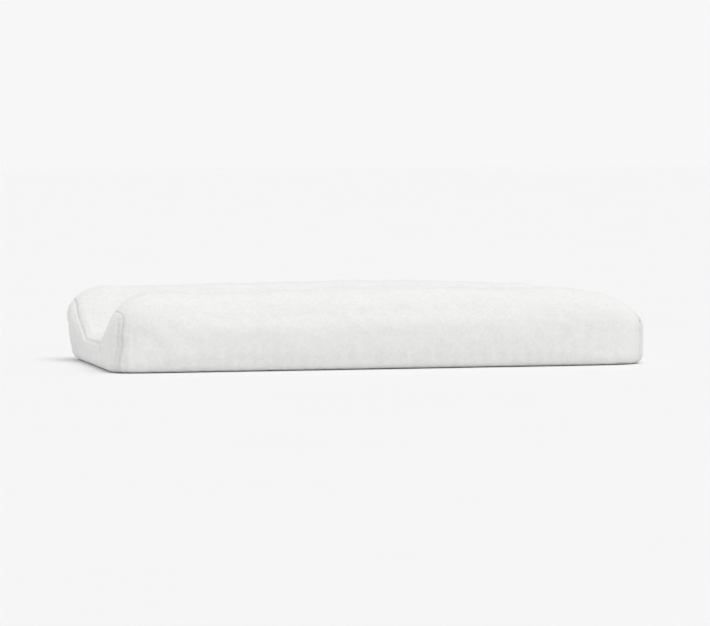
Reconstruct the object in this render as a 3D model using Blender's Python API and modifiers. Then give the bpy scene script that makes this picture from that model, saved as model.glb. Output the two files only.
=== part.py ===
"""A contoured changing pad: foam in a wipe-clean liner, wearing a plush fitted cover, with a safety belt.

Units are metres. +X runs along the pad, +Y goes to its rear side and +Z is up. The origin is the middle of
the underside. The pad's outer skin is one surface, worked out at stations along and across the pad, and each
fabric panel is a piece of that surface, set in by the depth of the layers above it.
"""

import math

import bmesh
import bpy
import numpy as np
from mathutils import Matrix, Vector

# --- the outer skin ----------------------------------------------------------------------------------------
PAD_LENGTH = 0.838
PAD_WIDTH = 0.406
CREST_HEIGHT = 0.116        # the side bolsters' tops, near their ends
CREST_CROWN = 0.004         # how much higher they are half way along
VALLEY_HEIGHT = 0.045
WAIST_HIGH = 0.058          # where a bolster's rounded top turns into its upright side
WAIST_LOW = 0.030           # the same at the middle of the ends
SIDE_ROUND = 0.053          # how far in the long sides' rounding reaches
LEFT_ROUND = 0.060
RIGHT_ROUND = 0.120
VALLEY_END_ROUND = 0.016    # how far in the ends' rounding reaches at the valley
CORNER_POWER = 2.6          # 2 makes the plan corners elliptic, and more makes them squarer
SLOPE_FOOT = 0.050          # the inner slopes run between these distances from the pad's centre line
SLOPE_TOP = 0.150
BASE_ROUND = 0.014

# --- the layers, as depths below the outer skin ------------------------------------------------------------
GAP = 0.0003
SEAM_GAP = 0.0006           # how far a panel's edge is set back from its seam
COVER_THICKNESS = 0.0024
LINER_DEPTH = 0.0044
LINER_THICKNESS = 0.0010
FOAM_DEPTH = 0.0074
BOLSTER_TOE = 0.062         # the bolsters' foam starts this far from the centre line
SLAB_HEIGHT = 0.0376

# --- the cover's hem ---------------------------------------------------------------------------------------
HEM_OUTER = BASE_ROUND + GAP
HEM_INNER = 0.0412
HEM_HEIGHT = 0.0040
HEM_CLOTH = 0.0012
ELASTIC_OUTER = 0.026
ELASTIC_INNER = 0.037
ELASTIC_THICKNESS = 0.0008

# --- the safety belt ---------------------------------------------------------------------------------------
WEBBING_WIDTH = 0.025
WEBBING_THICKNESS = 0.0013
SLIT_AT = 0.080             # the slits' distance from the centre line
SLIT_LENGTH = 0.027
SLIT_WIDTH = 0.0028
BINDING_LENGTH = 0.036
BINDING_WIDTH = 0.010
BINDING_THICKNESS = 0.0008
PIVOT_RISE = 0.0042         # the belt's hinge line stands this far out of the skin
BELT_TURN = math.radians(15)
BELT_LIFT = 0.0020          # the webbing's height above the valley floor
BELT_BEND_LIFT = 0.0044     # its height above the slope, where it has yet to level out
SOCKET_START = 0.086        # distances along a belt half from its hinge line
SOCKET_LENGTH = 0.040
PLUG_START = 0.080
PLUG_BODY = 0.022
PRONG_LENGTH = 0.027
PRONG_OUTLINE = [
    (0.0, 0.0095), (0.0, 0.0135), (0.010, 0.0132), (0.016, 0.0152), (0.022, 0.0152),
    (PRONG_LENGTH, 0.0110), (PRONG_LENGTH - 0.001, 0.0090), (0.018, 0.0098), (0.010, 0.0095),
]                           # points along the prong, and out from the buckle's middle line
PRONG_MIDDLE = 0.0115       # the prong's own line, out from the buckle's middle line
PRONG_THICKNESS = 0.004
PRONG_SET_OFF = 0.0005
TONGUE_LENGTH = 0.018
TONGUE_HALF_WIDTH = 0.004
TONGUE_HALF_THICKNESS = 0.002
BUCKLE_WIDTH = 0.033
BUCKLE_FLOOR = 0.0012       # how far a buckle half reaches below the webbing
SOCKET_WALL = 0.0015
SOCKET_BACK = 0.002         # the wall between the webbing's notch and the socket's box
SOCKET_MOUTH = 0.005        # how far the tool that hollows the box runs past its mouth
WINDOW_NEAR = 0.010         # the prongs' windows run between these distances back from the mouth
WINDOW_FAR = 0.022
BAR_RADIUS = 0.0016
BUCKLE_HEIGHT = 2 * (BAR_RADIUS + GAP + WEBBING_THICKNESS) + BUCKLE_FLOOR
BAR_INSET = 0.0040          # the bar's distance in from the start of its buckle half
EDGE_ROOM = 0.0006          # the room at each edge of the webbing, in the buckle and in the keeper
JOIN_OVERLAP = 0.001        # how far joined shapes run into each other
ROOT_LENGTH = 0.012
FLOOR_REACH = 0.004         # the webbing is level from this far past the slope's foot
LOOP_LENGTH = 0.014         # the loop round a bar closes this far short of the bar
LOOP_EASE = 0.001
FRONT_TAIL_AT = 0.042       # where each half's doubled tail ends
REAR_TAIL_AT = 0.066
KEEPER_AT = 0.056
KEEPER_LENGTH = 0.008
KEEPER_WALL = 0.0011
KEEPER_CHEEK = 0.0006       # how much thicker its end walls are
KEEPER_ROOM = 0.0004        # the room above the doubled webbing

# --- small hardware ----------------------------------------------------------------------------------------
EYELET_AT = 0.090
EYELET_HEIGHT = 0.026
EYELET_RADIUS = 0.0055
EYELET_HOLE = 0.0030
DRILL_LENGTH = 0.010
TAB_AT = 0.250
TAB_LENGTH = 0.070
TAB_WIDTH = 0.025
GROMMET_RADIUS = 0.0070
GROMMET_HOLE = 0.0030
GROMMET_ROOM = 0.0016       # how much thinner a grommet is than the space it sits in
LABEL_LENGTH = 0.045
LABEL_WIDTH = 0.030
LABEL_THICKNESS = 0.0004
LABEL_AT = (-0.120, -0.100)

# --- how finely the skin is divided ------------------------------------------------------------------------
LEFT_STEPS = 4
MIDDLE_STEPS = 6
RIGHT_STEPS = 5
SIDE_STEPS = 4
SLOPE_STEPS = 5
FLOOR_STEPS = 2
BASE_STEPS = 3              # rings below the waist: the foot of the upright wall, and two round the base

TOP = "top"
FRONT = "front"
REAR = "rear"
LEFT = "left"
RIGHT = "right"
LEFT_SHOULDER = "left_shoulder"
RIGHT_SHOULDER = "right_shoulder"
EVERY_ZONE = (TOP, FRONT, REAR, LEFT, RIGHT, LEFT_SHOULDER, RIGHT_SHOULDER)


# --- scene and materials -----------------------------------------------------------------------------------
def clear_scene():
    for old in list(bpy.data.objects):
        bpy.data.objects.remove(old, do_unlink=True)


def new_collection(name):
    collection = bpy.data.collections.new(name)
    bpy.context.scene.collection.children.link(collection)
    return collection


def material(name, colour, roughness, metallic=0.0):
    made = bpy.data.materials.new(name)
    made.use_nodes = True
    shader = made.node_tree.nodes["Principled BSDF"]
    shader.inputs["Base Color"].default_value = (*colour, 1.0)
    shader.inputs["Roughness"].default_value = roughness
    shader.inputs["Metallic"].default_value = metallic
    return made


def add_object(name, data, finish=None, collection=None):
    made = bpy.data.objects.new(name, data)
    (collection or parts).objects.link(made)
    if finish:
        data.materials.clear()
        data.materials.append(finish)
    return made


def mesh_from(bm, name):
    bmesh.ops.recalc_face_normals(bm, faces=bm.faces[:])
    mesh = bpy.data.meshes.new(name)
    bm.to_mesh(mesh)
    bm.free()
    return mesh


# --- the outer skin ----------------------------------------------------------------------------------------
def ease(t):
    t = min(max(t, 0.0), 1.0)
    return t * t * (3 - 2 * t)


def along_stations():
    """Stations along the pad: (x where the end's rounding starts, its signed reach, how far round it is)."""
    left = LEFT_ROUND - PAD_LENGTH / 2
    right = PAD_LENGTH / 2 - RIGHT_ROUND
    rounding = [(left, -LEFT_ROUND, 1 - k / LEFT_STEPS) for k in range(LEFT_STEPS)]
    rounding += [(left + (right - left) * k / MIDDLE_STEPS, 0.0, 0.0) for k in range(MIDDLE_STEPS + 1)]
    return rounding + [(right, RIGHT_ROUND, (k + 1) / RIGHT_STEPS) for k in range(RIGHT_STEPS)]


def across_stations():
    """Stations across the pad, from the front side to the rear, in the same form."""
    edge = PAD_WIDTH / 2 - SIDE_ROUND
    slope = [edge - (edge - SLOPE_FOOT) * k / SLOPE_STEPS for k in range(SLOPE_STEPS)]
    floor = [SLOPE_FOOT - 2 * SLOPE_FOOT * k / FLOOR_STEPS for k in range(FLOOR_STEPS + 1)]
    middle = [-y for y in slope] + [-y for y in floor] + [y for y in reversed(slope)]
    stations = [(-edge, -SIDE_ROUND, 1 - k / SIDE_STEPS) for k in range(SIDE_STEPS)]
    stations += [(y, 0.0, 0.0) for y in middle]
    return stations + [(edge, SIDE_ROUND, (k + 1) / SIDE_STEPS) for k in range(SIDE_STEPS)]


ALONG = along_stations()
ACROSS = across_stations()
COLUMNS = len(ALONG) - 1 + 2 * BASE_STEPS
ROWS = len(ACROSS) - 1 + 2 * BASE_STEPS


def corner_share(s, t):
    """How a point's rounding is shared between the two directions, on a superellipse."""
    total = (s**CORNER_POWER + t**CORNER_POWER) ** (1 / CORNER_POWER)
    return (s / total, t / total) if total else (0.0, 0.0)


def top_point(along, across):
    """A point of the skin above its waist: a quarter turn from the flat top to the upright wall."""
    (x0, reach_x, s), (y0, reach_y, t) = along, across
    share_x, share_y = corner_share(s, t)
    turn = max(s, t) * math.pi / 2
    y = y0 + reach_y * share_y * math.sin(turn)
    rise = ease((abs(y) - SLOPE_FOOT) / (SLOPE_TOP - SLOPE_FOOT))
    x = x0
    if s:
        reach = VALLEY_END_ROUND + (abs(reach_x) - VALLEY_END_ROUND) * rise
        x += reach_x - math.copysign(reach * (1 - share_x * math.sin(turn)), reach_x)
    crest = CREST_HEIGHT + CREST_CROWN * (1 - (2 * x / PAD_LENGTH) ** 2)
    top = VALLEY_HEIGHT + (crest - VALLEY_HEIGHT) * rise
    waist = WAIST_LOW + (WAIST_HIGH - WAIST_LOW) * rise
    return Vector((x, y, waist + (top - waist) * math.cos(turn)))


def edge_point(along, across, inset):
    """A point of the plan outline, set in by inset, and the outline's outward normal there."""
    (x0, reach_x, s), (y0, reach_y, t) = along, across
    share_x, share_y = corner_share(s, t)
    x = x0 + math.copysign(max(abs(reach_x) - inset, 0), reach_x) * share_x
    y = y0 + math.copysign(max(abs(reach_y) - inset, 0), reach_y) * share_y
    power = CORNER_POWER - 1
    lean_x = math.copysign(share_x**power / abs(reach_x), reach_x) if share_x else 0.0
    lean_y = math.copysign(share_y**power / abs(reach_y), reach_y) if share_y else 0.0
    return Vector((x, y, 0)), Vector((lean_x, lean_y, 0)).normalized()


def base_point(along, across, ring):
    """A point and normal of ring 1, 2 or 3 below the waist: the wall's foot, then round the base."""
    turn = (ring - 1) / (BASE_STEPS - 1) * math.pi / 2
    point, out = edge_point(along, across, BASE_ROUND * (1 - math.cos(turn)))
    point.z = BASE_ROUND * (1 - math.sin(turn))
    return point, out * math.cos(turn) - Vector((0, 0, math.sin(turn)))


def skin_tables():
    """The skin's points and outward normals, at every station of the top and every ring of the base."""
    points = np.zeros((COLUMNS + 1, ROWS + 1, 3))
    normals = np.zeros((COLUMNS + 1, ROWS + 1, 3))
    first, last_column, last_row = BASE_STEPS, COLUMNS - BASE_STEPS, ROWS - BASE_STEPS
    for i, along in enumerate(ALONG):
        for j, across in enumerate(ACROSS):
            points[i + first, j + first] = top_point(along, across)
    inner = points[first : last_column + 1, first : last_row + 1]
    facing = np.cross(np.gradient(inner, axis=0), np.gradient(inner, axis=1))
    facing /= np.linalg.norm(facing, axis=2)[:, :, None]
    normals[first : last_column + 1, first : last_row + 1] = facing
    for i in range(COLUMNS + 1):
        for j in range(ROWS + 1):
            column = min(max(i, first), last_column)
            row = min(max(j, first), last_row)
            along, across = ALONG[column - first], ACROSS[row - first]
            ring = max(abs(i - column), abs(j - row))
            if ring:
                points[i, j], normals[i, j] = base_point(along, across, ring)
            elif column in (first, last_column) or row in (first, last_row):
                normals[i, j] = edge_point(along, across, 0)[1]
    return points, normals


SKIN, SKIN_NORMALS = skin_tables()


def zone_of(column, row):
    """Which panel zone a cell of the skin is in, or None for the unused corners of the table."""
    side = LEFT if column < BASE_STEPS else RIGHT if column >= COLUMNS - BASE_STEPS else None
    face = FRONT if row < BASE_STEPS else REAR if row >= ROWS - BASE_STEPS else None
    if side and face:
        return None
    if side or face:
        return side or face
    inside_rows = BASE_STEPS < row < ROWS - BASE_STEPS - 1
    if column == BASE_STEPS and inside_rows:
        return LEFT_SHOULDER
    if column == COLUMNS - BASE_STEPS - 1 and inside_rows:
        return RIGHT_SHOULDER
    return TOP


def skin_patch(zones, depth):
    """An open bmesh of the wanted zones of the skin, set in by depth."""
    bm = bmesh.new()
    bmesh.ops.create_grid(bm, x_segments=COLUMNS, y_segments=ROWS, size=0.5)
    column_layer = bm.verts.layers.int.new("column")
    row_layer = bm.verts.layers.int.new("row")
    for vertex in bm.verts:
        vertex[column_layer] = round((vertex.co.x + 0.5) * COLUMNS)
        vertex[row_layer] = round((vertex.co.y + 0.5) * ROWS)
    unwanted = []
    for face in bm.faces:
        centre = face.calc_center_median()
        column = int((centre.x + 0.5) * COLUMNS)
        row = int((centre.y + 0.5) * ROWS)
        if zone_of(column, row) not in zones:
            unwanted.append(face)
    bmesh.ops.delete(bm, geom=unwanted, context="FACES")
    for vertex in bm.verts:
        i, j = vertex[column_layer], vertex[row_layer]
        vertex.co = Vector(SKIN[i, j] - depth * SKIN_NORMALS[i, j])
    bmesh.ops.remove_doubles(bm, verts=bm.verts[:], dist=1e-6)
    bmesh.ops.triangulate(bm, faces=bm.faces[:], quad_method="FIXED")
    return bm


def draw_in_edges(bm, distance):
    """Moves the open edges of a patch in along the surface, so that neighbouring panels don't touch."""
    inward = {}
    for edge in bm.edges:
        if edge.is_boundary:
            ends = edge.verts
            along = (ends[1].co - ends[0].co).normalized()
            towards = edge.link_faces[0].calc_center_median() - ends[0].co
            towards = (towards - along * towards.dot(along)).normalized()
            for vertex in ends:
                inward.setdefault(vertex, []).append(towards)
    for vertex, (one, other) in inward.items():
        vertex.co += (one + other) * distance / max(1 + one.dot(other), 0.3)


def skin_panel(name, zones, depth, thickness, finish):
    """A fabric panel: a patch of the skin, and the same patch set further in, joined round their edges."""
    bm = skin_patch(zones, depth)
    draw_in_edges(bm, SEAM_GAP)
    column_layer = bm.verts.layers.int["column"]
    row_layer = bm.verts.layers.int["row"]
    made = bmesh.ops.extrude_face_region(bm, geom=bm.faces[:], use_keep_orig=True)
    for vertex in made["geom"]:
        if isinstance(vertex, bmesh.types.BMVert):
            normal = SKIN_NORMALS[vertex[column_layer], vertex[row_layer]]
            vertex.co -= Vector(normal) * thickness
    return add_object(name, mesh_from(bm, name), finish)


# --- general shapes ----------------------------------------------------------------------------------------
def flat_plate(name, outlines, thickness, finish=None, collection=None):
    """A plate of even thickness about its own XY plane: the first outline is its edge, the others holes."""
    curve = bpy.data.curves.new(name, "CURVE")
    curve.dimensions = "2D"
    curve.fill_mode = "BOTH"
    curve.extrude = thickness / 2
    for outline in outlines:
        spline = curve.splines.new("POLY")
        spline.points.add(len(outline) - 1)
        for point, (x, y) in zip(spline.points, outline):
            point.co = (x, y, 0, 1)
        spline.use_cyclic_u = True
    return add_object(name, curve, finish, collection)


def box(name, low, high, collection=None, finish=None):
    bm = bmesh.new()
    bmesh.ops.create_cube(bm, size=1)
    size = Vector(high) - Vector(low)
    bmesh.ops.scale(bm, vec=size, verts=bm.verts[:])
    bmesh.ops.translate(bm, vec=(Vector(high) + Vector(low)) / 2, verts=bm.verts[:])
    return add_object(name, mesh_from(bm, name), finish, collection)


def rod(name, radius, length, sides, collection=None):
    """A cylinder about its own Z axis, centred on its origin."""
    bm = bmesh.new()
    bmesh.ops.create_cone(bm, cap_ends=True, segments=sides, radius1=radius, radius2=radius, depth=length)
    return add_object(name, mesh_from(bm, name), None, collection)


def turned_ring(name, hole, radius, thickness, finish, sides=20):
    """A ring with eased edges about its own Z axis, centred on its origin."""
    half, ease_edge = thickness / 2, thickness / 4
    profile = [
        (hole, half - ease_edge),
        (hole + ease_edge, half),
        (radius - ease_edge, half),
        (radius, half - ease_edge),
        (radius, ease_edge - half),
        (radius - ease_edge, -half),
        (hole + ease_edge, -half),
        (hole, ease_edge - half),
    ]
    bm = bmesh.new()
    corners = [bm.verts.new((x, 0, z)) for x, z in profile]
    for k, corner in enumerate(corners):
        bm.edges.new((corner, corners[(k + 1) % len(corners)]))
    mesh = bpy.data.meshes.new(name)
    bm.to_mesh(mesh)
    bm.free()
    made = add_object(name, mesh, finish)
    screw = made.modifiers.new("turn", "SCREW")
    screw.steps = screw.render_steps = sides
    screw.use_merge_vertices = True
    screw.merge_threshold = 0.0001
    screw.use_smooth_shade = True
    return made


def as_cutter(made):
    made.hide_render = True
    made.display_type = "WIRE"
    return made


def combine(target, operand, operation):
    """A live Boolean on target, with operand kept as a hidden guide."""
    as_cutter(operand)
    boolean = target.modifiers.new(operation.lower(), "BOOLEAN")
    boolean.operation = operation
    boolean.solver = "EXACT"
    boolean.object = operand
    return target


def as_mesh(curve_object):
    """The same piece as a mesh with its caps welded, so that it can be cut or joined."""
    bpy.context.view_layer.update()
    graph = bpy.context.evaluated_depsgraph_get()
    name = curve_object.name
    mesh = bpy.data.meshes.new_from_object(curve_object.evaluated_get(graph))
    bm = bmesh.new()
    bm.from_mesh(mesh)
    bmesh.ops.remove_doubles(bm, verts=bm.verts[:], dist=1e-6)
    bmesh.ops.recalc_face_normals(bm, faces=bm.faces[:])
    bm.to_mesh(mesh)
    bm.free()
    place = curve_object.matrix_world.copy()
    collection = curve_object.users_collection[0]
    bpy.data.objects.remove(curve_object)
    made = bpy.data.objects.new(name, mesh)
    collection.objects.link(made)
    made.matrix_world = place
    return made


def rectangle(length, width, at=(0, 0)):
    x, y = length / 2, width / 2
    return [(at[0] - x, at[1] - y), (at[0] + x, at[1] - y), (at[0] + x, at[1] + y), (at[0] - x, at[1] + y)]


def circle(radius, at=(0, 0), sides=16):
    turns = [2 * math.pi * k / sides for k in range(sides)]
    return [(at[0] + radius * math.cos(a), at[1] + radius * math.sin(a)) for a in turns]


def slot_outline(length, width, steps=5):
    """A racetrack: two straight sides and round ends."""
    points = []
    for end in (1, -1):
        for k in range(steps + 1):
            turn = -math.pi / 2 + math.pi * k / steps
            x = (length - width) / 2 + width / 2 * math.cos(turn)
            points.append((end * x, end * width / 2 * math.sin(turn)))
    return points


def plan_outline(inset):
    """The pad's plan outline set in by inset, once round from the front left corner."""
    last_along, last_across = len(ALONG) - 1, len(ACROSS) - 1
    route = [(i, 0) for i in range(last_along)]
    route += [(last_along, j) for j in range(last_across)]
    route += [(i, last_across) for i in range(last_along, 0, -1)]
    route += [(0, j) for j in range(last_across, 0, -1)]
    return [edge_point(ALONG[i], ACROSS[j], inset)[0].xy for i, j in route]


def base_ring(name, section, finish):
    """A closed section of (inset, height) points, carried once round the pad's plan outline."""
    loops = [plan_outline(inset) for inset, _ in section]
    around, steps = len(loops[0]), len(section)
    bm = bmesh.new()
    bmesh.ops.create_grid(bm, x_segments=around, y_segments=steps, size=0.5)
    for vertex in bm.verts:
        k = round((vertex.co.x + 0.5) * around) % around
        step = round((vertex.co.y + 0.5) * steps) % steps
        vertex.co = (*loops[step][k], section[step][1])
    bmesh.ops.remove_doubles(bm, verts=bm.verts[:], dist=1e-6)
    return add_object(name, mesh_from(bm, name), finish)


# --- foam --------------------------------------------------------------------------------------------------
def foam_blank():
    """The foam's whole outer shape, from which the slab and the bolsters are cut."""
    bm = skin_patch(EVERY_ZONE, FOAM_DEPTH)
    rim = [edge for edge in bm.edges if edge.is_boundary]
    bmesh.ops.holes_fill(bm, edges=rim, sides=0)
    bmesh.ops.triangulate(bm, faces=[face for face in bm.faces if len(face.verts) > 4])
    return mesh_from(bm, "foam_blank")


def make_foam():
    blank = foam_blank()
    far_x, far_y, far_z = PAD_LENGTH, PAD_WIDTH, 2 * CREST_HEIGHT
    slab = add_object("foam_base", blank.copy(), firm_foam)
    for side, sign in (("front", -1), ("rear", 1)):
        room = sorted((sign * (BOLSTER_TOE - GAP), sign * far_y))
        above_slab = (-far_x, room[0], SLAB_HEIGHT), (far_x, room[1], far_z)
        combine(slab, box(f"slab_cut_{side}", *above_slab, cutters), "DIFFERENCE")
        reach = sorted((sign * BOLSTER_TOE, sign * far_y))
        own = (-far_x, reach[0], SLAB_HEIGHT + GAP), (far_x, reach[1], far_z)
        bolster = add_object(f"foam_bolster_{side}", blank.copy(), soft_foam)
        combine(bolster, box(f"bolster_room_{side}", *own, cutters), "INTERSECT")


# --- liner -------------------------------------------------------------------------------------------------
def make_liner():
    upper = (TOP, LEFT_SHOULDER, RIGHT_SHOULDER)
    skin_panel("liner_top_panel", upper, LINER_DEPTH, LINER_THICKNESS, vinyl)
    skin_panel("liner_side_front", (FRONT,), LINER_DEPTH, LINER_THICKNESS, vinyl)
    skin_panel("liner_side_rear", (REAR,), LINER_DEPTH, LINER_THICKNESS, vinyl)
    for side, zone, sign in (("left", LEFT, -1), ("right", RIGHT, 1)):
        end = skin_panel(f"liner_end_{side}", (zone,), LINER_DEPTH, LINER_THICKNESS, vinyl)
        for place, y in (("front", -EYELET_AT), ("rear", EYELET_AT)):
            wall = sign * (PAD_LENGTH / 2 - LINER_DEPTH)
            drill = rod(f"vent_hole_{side}_{place}", EYELET_HOLE, DRILL_LENGTH, 16, cutters)
            aim = Matrix.Rotation(math.pi / 2, 4, "Y")
            drill.matrix_world = Matrix.Translation((wall, y, EYELET_HEIGHT)) @ aim
            combine(end, drill, "DIFFERENCE")
            ring_depth = (COVER_THICKNESS + LINER_DEPTH) / 2
            ring_thickness = LINER_DEPTH - COVER_THICKNESS - 2 * GAP
            name = f"vent_eyelet_{side}_{place}"
            eyelet = turned_ring(name, EYELET_HOLE, EYELET_RADIUS, ring_thickness, nickel)
            eyelet.location = (sign * (PAD_LENGTH / 2 - ring_depth), y, EYELET_HEIGHT)
            eyelet.rotation_euler = (0, math.pi / 2, 0)
    bottom = flat_plate("liner_bottom_panel", [plan_outline(HEM_OUTER)], LINER_THICKNESS, grip_fabric)
    bottom.location.z = LINER_DEPTH + LINER_THICKNESS / 2


# --- cover -------------------------------------------------------------------------------------------------
def slope_frame(sign):
    """The frame of an inner slope's facet at the slit: X along the pad, Y up the slope, Z out of the skin.

    sign is -1 on the front slope and +1 on the rear one.
    """
    rows = [row for row, (y, _, _) in enumerate(ACROSS) if y * sign > 0]
    low = max((r for r in rows if abs(ACROSS[r][0]) <= SLIT_AT), key=lambda r: abs(ACROSS[r][0]))
    high = min((r for r in rows if abs(ACROSS[r][0]) > SLIT_AT), key=lambda r: abs(ACROSS[r][0]))
    corners = [skin_at(0, ACROSS[r][0]) for r in (low, high)]
    up = (corners[1] - corners[0]).normalized()
    out = Vector((0, -sign * up.z, abs(up.y)))
    along = up.cross(out)
    share = (SLIT_AT - abs(ACROSS[low][0])) / (abs(ACROSS[high][0]) - abs(ACROSS[low][0]))
    origin = corners[0].lerp(corners[1], share)
    frame = Matrix((along, up, out)).transposed().to_4x4()
    frame.translation = origin
    return frame


def skin_at(x, y):
    """A point of the skin at one station across the pad, between two stations along it."""
    row = BASE_STEPS + min(range(len(ACROSS)), key=lambda r: abs(ACROSS[r][0] - y) + ACROSS[r][2])
    columns = SKIN[BASE_STEPS : COLUMNS - BASE_STEPS + 1, row]
    height = np.interp(x, columns[:, 0], columns[:, 2])
    return Vector((x, y, float(height)))


def make_cover():
    main = skin_panel("cover_main_panel", (TOP, FRONT, REAR), 0.0, COVER_THICKNESS, plush)
    skin_panel("cover_end_panel_left", (LEFT, LEFT_SHOULDER), 0.0, COVER_THICKNESS, plush)
    skin_panel("cover_end_panel_right", (RIGHT, RIGHT_SHOULDER), 0.0, COVER_THICKNESS, plush)
    for side, sign in (("front", -1), ("rear", 1)):
        frame = slope_frame(sign)
        reach = (SLIT_LENGTH / 2, SLIT_WIDTH / 2, 4 * COVER_THICKNESS)
        cutter = box(f"slit_cut_{side}", [-r for r in reach], reach, cutters)
        cutter.matrix_world = frame
        combine(main, cutter, "DIFFERENCE")
        outlines = [slot_outline(BINDING_LENGTH, BINDING_WIDTH), rectangle(SLIT_LENGTH, SLIT_WIDTH)]
        binding = flat_plate(f"cover_slit_binding_{side}", outlines, BINDING_THICKNESS, tape)
        binding.matrix_world = frame @ Matrix.Translation((0, 0, GAP + BINDING_THICKNESS / 2))


def make_hem():
    top, cloth = HEM_HEIGHT, HEM_CLOTH
    casing = [
        (HEM_OUTER, 0),
        (HEM_INNER - cloth, 0),
        (HEM_INNER, cloth),
        (HEM_INNER, top - cloth),
        (HEM_INNER - cloth, top),
        (HEM_OUTER, top),
        (HEM_OUTER, top - cloth),
        (HEM_INNER - 2 * cloth, top - cloth),
        (HEM_INNER - 2 * cloth, cloth),
        (HEM_OUTER, cloth),
    ]
    base_ring("cover_hem_casing", casing, plush)
    low, high = (top - ELASTIC_THICKNESS) / 2, (top + ELASTIC_THICKNESS) / 2
    band = [(ELASTIC_OUTER, low), (ELASTIC_INNER, low), (ELASTIC_INNER, high), (ELASTIC_OUTER, high)]
    base_ring("cover_hem_elastic", band, elastic)


# --- underside ---------------------------------------------------------------------------------------------
def make_underside():
    ring_thickness = LINER_DEPTH - 2 * GAP - GROMMET_ROOM
    for side, sign in (("left", -1), ("right", 1)):
        level = LINER_DEPTH - GAP - ring_thickness / 2
        hole_at = (-sign * (TAB_LENGTH / 2 - TAB_WIDTH / 2), 0)
        outlines = [rectangle(TAB_LENGTH, TAB_WIDTH), circle(GROMMET_RADIUS + GAP, hole_at)]
        tab = flat_plate(f"anchor_tab_{side}", outlines, WEBBING_THICKNESS, webbing_white)
        tab.location = (sign * TAB_AT, 0, level)
        name = f"anchor_grommet_{side}"
        grommet = turned_ring(name, GROMMET_HOLE, GROMMET_RADIUS, ring_thickness, brass)
        grommet.location = (sign * TAB_AT + hole_at[0], 0, level)
    blank = [rectangle(LABEL_LENGTH, LABEL_WIDTH)]
    label = flat_plate("care_label", blank, LABEL_THICKNESS, label_white)
    label.location = (*LABEL_AT, LINER_DEPTH - GAP - LABEL_THICKNESS / 2)


# --- safety belt -------------------------------------------------------------------------------------------
def belt_pivot(side, sign):
    """An empty on a belt half's hinge line: its X runs along the half, its Y is the hinge line's way back."""
    frame = slope_frame(sign)
    place = frame.translation + frame.col[2].xyz * PIVOT_RISE
    heading = Vector((sign * math.sin(BELT_TURN), -sign * math.cos(BELT_TURN), 0))
    across = Vector((0, 0, 1)).cross(heading)
    pivot = bpy.data.objects.new(f"belt_{side}_pivot", None)
    parts.objects.link(pivot)
    turn = Matrix((heading, across, Vector((0, 0, 1)))).transposed().to_4x4()
    pivot.matrix_world = Matrix.Translation(place) @ turn
    return pivot


def hang(made, pivot, location=(0, 0, 0), upright=False):
    """Parents a piece to a belt half's pivot. upright stands an outline drawn along the half on its edge."""
    made.parent = pivot
    made.location = location
    made.rotation_euler = (math.pi / 2 if upright else 0, 0, 0)
    return made


def floor_level(pivot):
    """The height of the webbing's lower face on the valley floor, from the pivot."""
    return VALLEY_HEIGHT + BELT_LIFT - pivot.matrix_world.translation.z


def slope_path(pivot, sign):
    """The webbing's lower face from the hinge line down to the valley floor, as (distance, height)."""
    start = pivot.matrix_world.translation
    run = math.cos(BELT_TURN)
    foot = (abs(start.y) - SLOPE_FOOT) / run
    bend_y = SLOPE_FOOT + (SLOPE_TOP - SLOPE_FOOT) / SLOPE_STEPS
    bend = (abs(start.y) - bend_y) / run
    bend_height = skin_at(0, sign * bend_y).z - start.z + BELT_BEND_LIFT
    first = WEBBING_THICKNESS / 2 + 2 * GAP + WEBBING_WIDTH / 2 * math.tan(BELT_TURN)
    slope = slope_frame(sign).col[1]
    drop = abs(slope.z / slope.y) * run
    first_height = -WEBBING_THICKNESS / 2 - drop * first
    return [(first, first_height), (bend, bend_height), (foot + FLOOR_REACH, floor_level(pivot))]


def thick_path(path, thickness):
    """The upper face over a lower face's points: each point moved square to the path at it."""
    upper = []
    for k, (x, z) in enumerate(path):
        before, after = path[max(k - 1, 0)], path[min(k + 1, len(path) - 1)]
        run, rise = after[0] - before[0], after[1] - before[1]
        size = math.hypot(run, rise)
        upper.append((x - rise / size * thickness, z + run / size * thickness))
    return upper


def loop_end(centre, height, radius, steps=8):
    """Half a turn of points from the loop's bottom round its far side to its top."""
    turns = [-math.pi / 2 + math.pi * k / steps for k in range(steps + 1)]
    return [(centre + radius * math.cos(a), height + radius * math.sin(a)) for a in turns]


def webbing_half(side, sign, pivot, bar_at, tail_at):
    """One half of the belt: from the slit down to the valley floor, round its buckle's bar and back."""
    level, thick = floor_level(pivot), WEBBING_THICKNESS
    inner = BAR_RADIUS + GAP
    outer = inner + thick
    centre = level + outer
    back = bar_at - LOOP_LENGTH
    lower = slope_path(pivot, sign)
    lower_top = thick_path(lower, thick)
    second = level + thick + GAP
    outline = lower + loop_end(bar_at, centre, outer)
    outline += [(back, second + thick), (tail_at, second + thick)]
    outline += [(tail_at, second), (back + LOOP_EASE, second)]
    outline += list(reversed(loop_end(bar_at, centre, inner)))
    outline += [(back, level + thick)]
    outline += list(reversed(lower_top))
    made = flat_plate(f"belt_webbing_{side}", [outline], WEBBING_WIDTH, webbing_white)
    return hang(made, pivot, upright=True)


def belt_root(side, sign):
    """The half's sewn end: flat on the liner above the slit, then out through the slit."""
    frame = slope_frame(sign)
    shallow, deep = COVER_THICKNESS + GAP, LINER_DEPTH - GAP
    half = WEBBING_THICKNESS / 2
    top = PIVOT_RISE - half - GAP
    outline = [(-half, top), (-half, -deep), (ROOT_LENGTH, -deep)]
    outline += [(ROOT_LENGTH, -shallow), (half, -shallow), (half, top)]
    made = flat_plate(f"belt_root_{side}", [outline], WEBBING_WIDTH, webbing_white)
    stand = Matrix(((0, 0, 1), (1, 0, 0), (0, 1, 0))).to_4x4()
    made.matrix_world = frame @ stand
    return made


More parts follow.
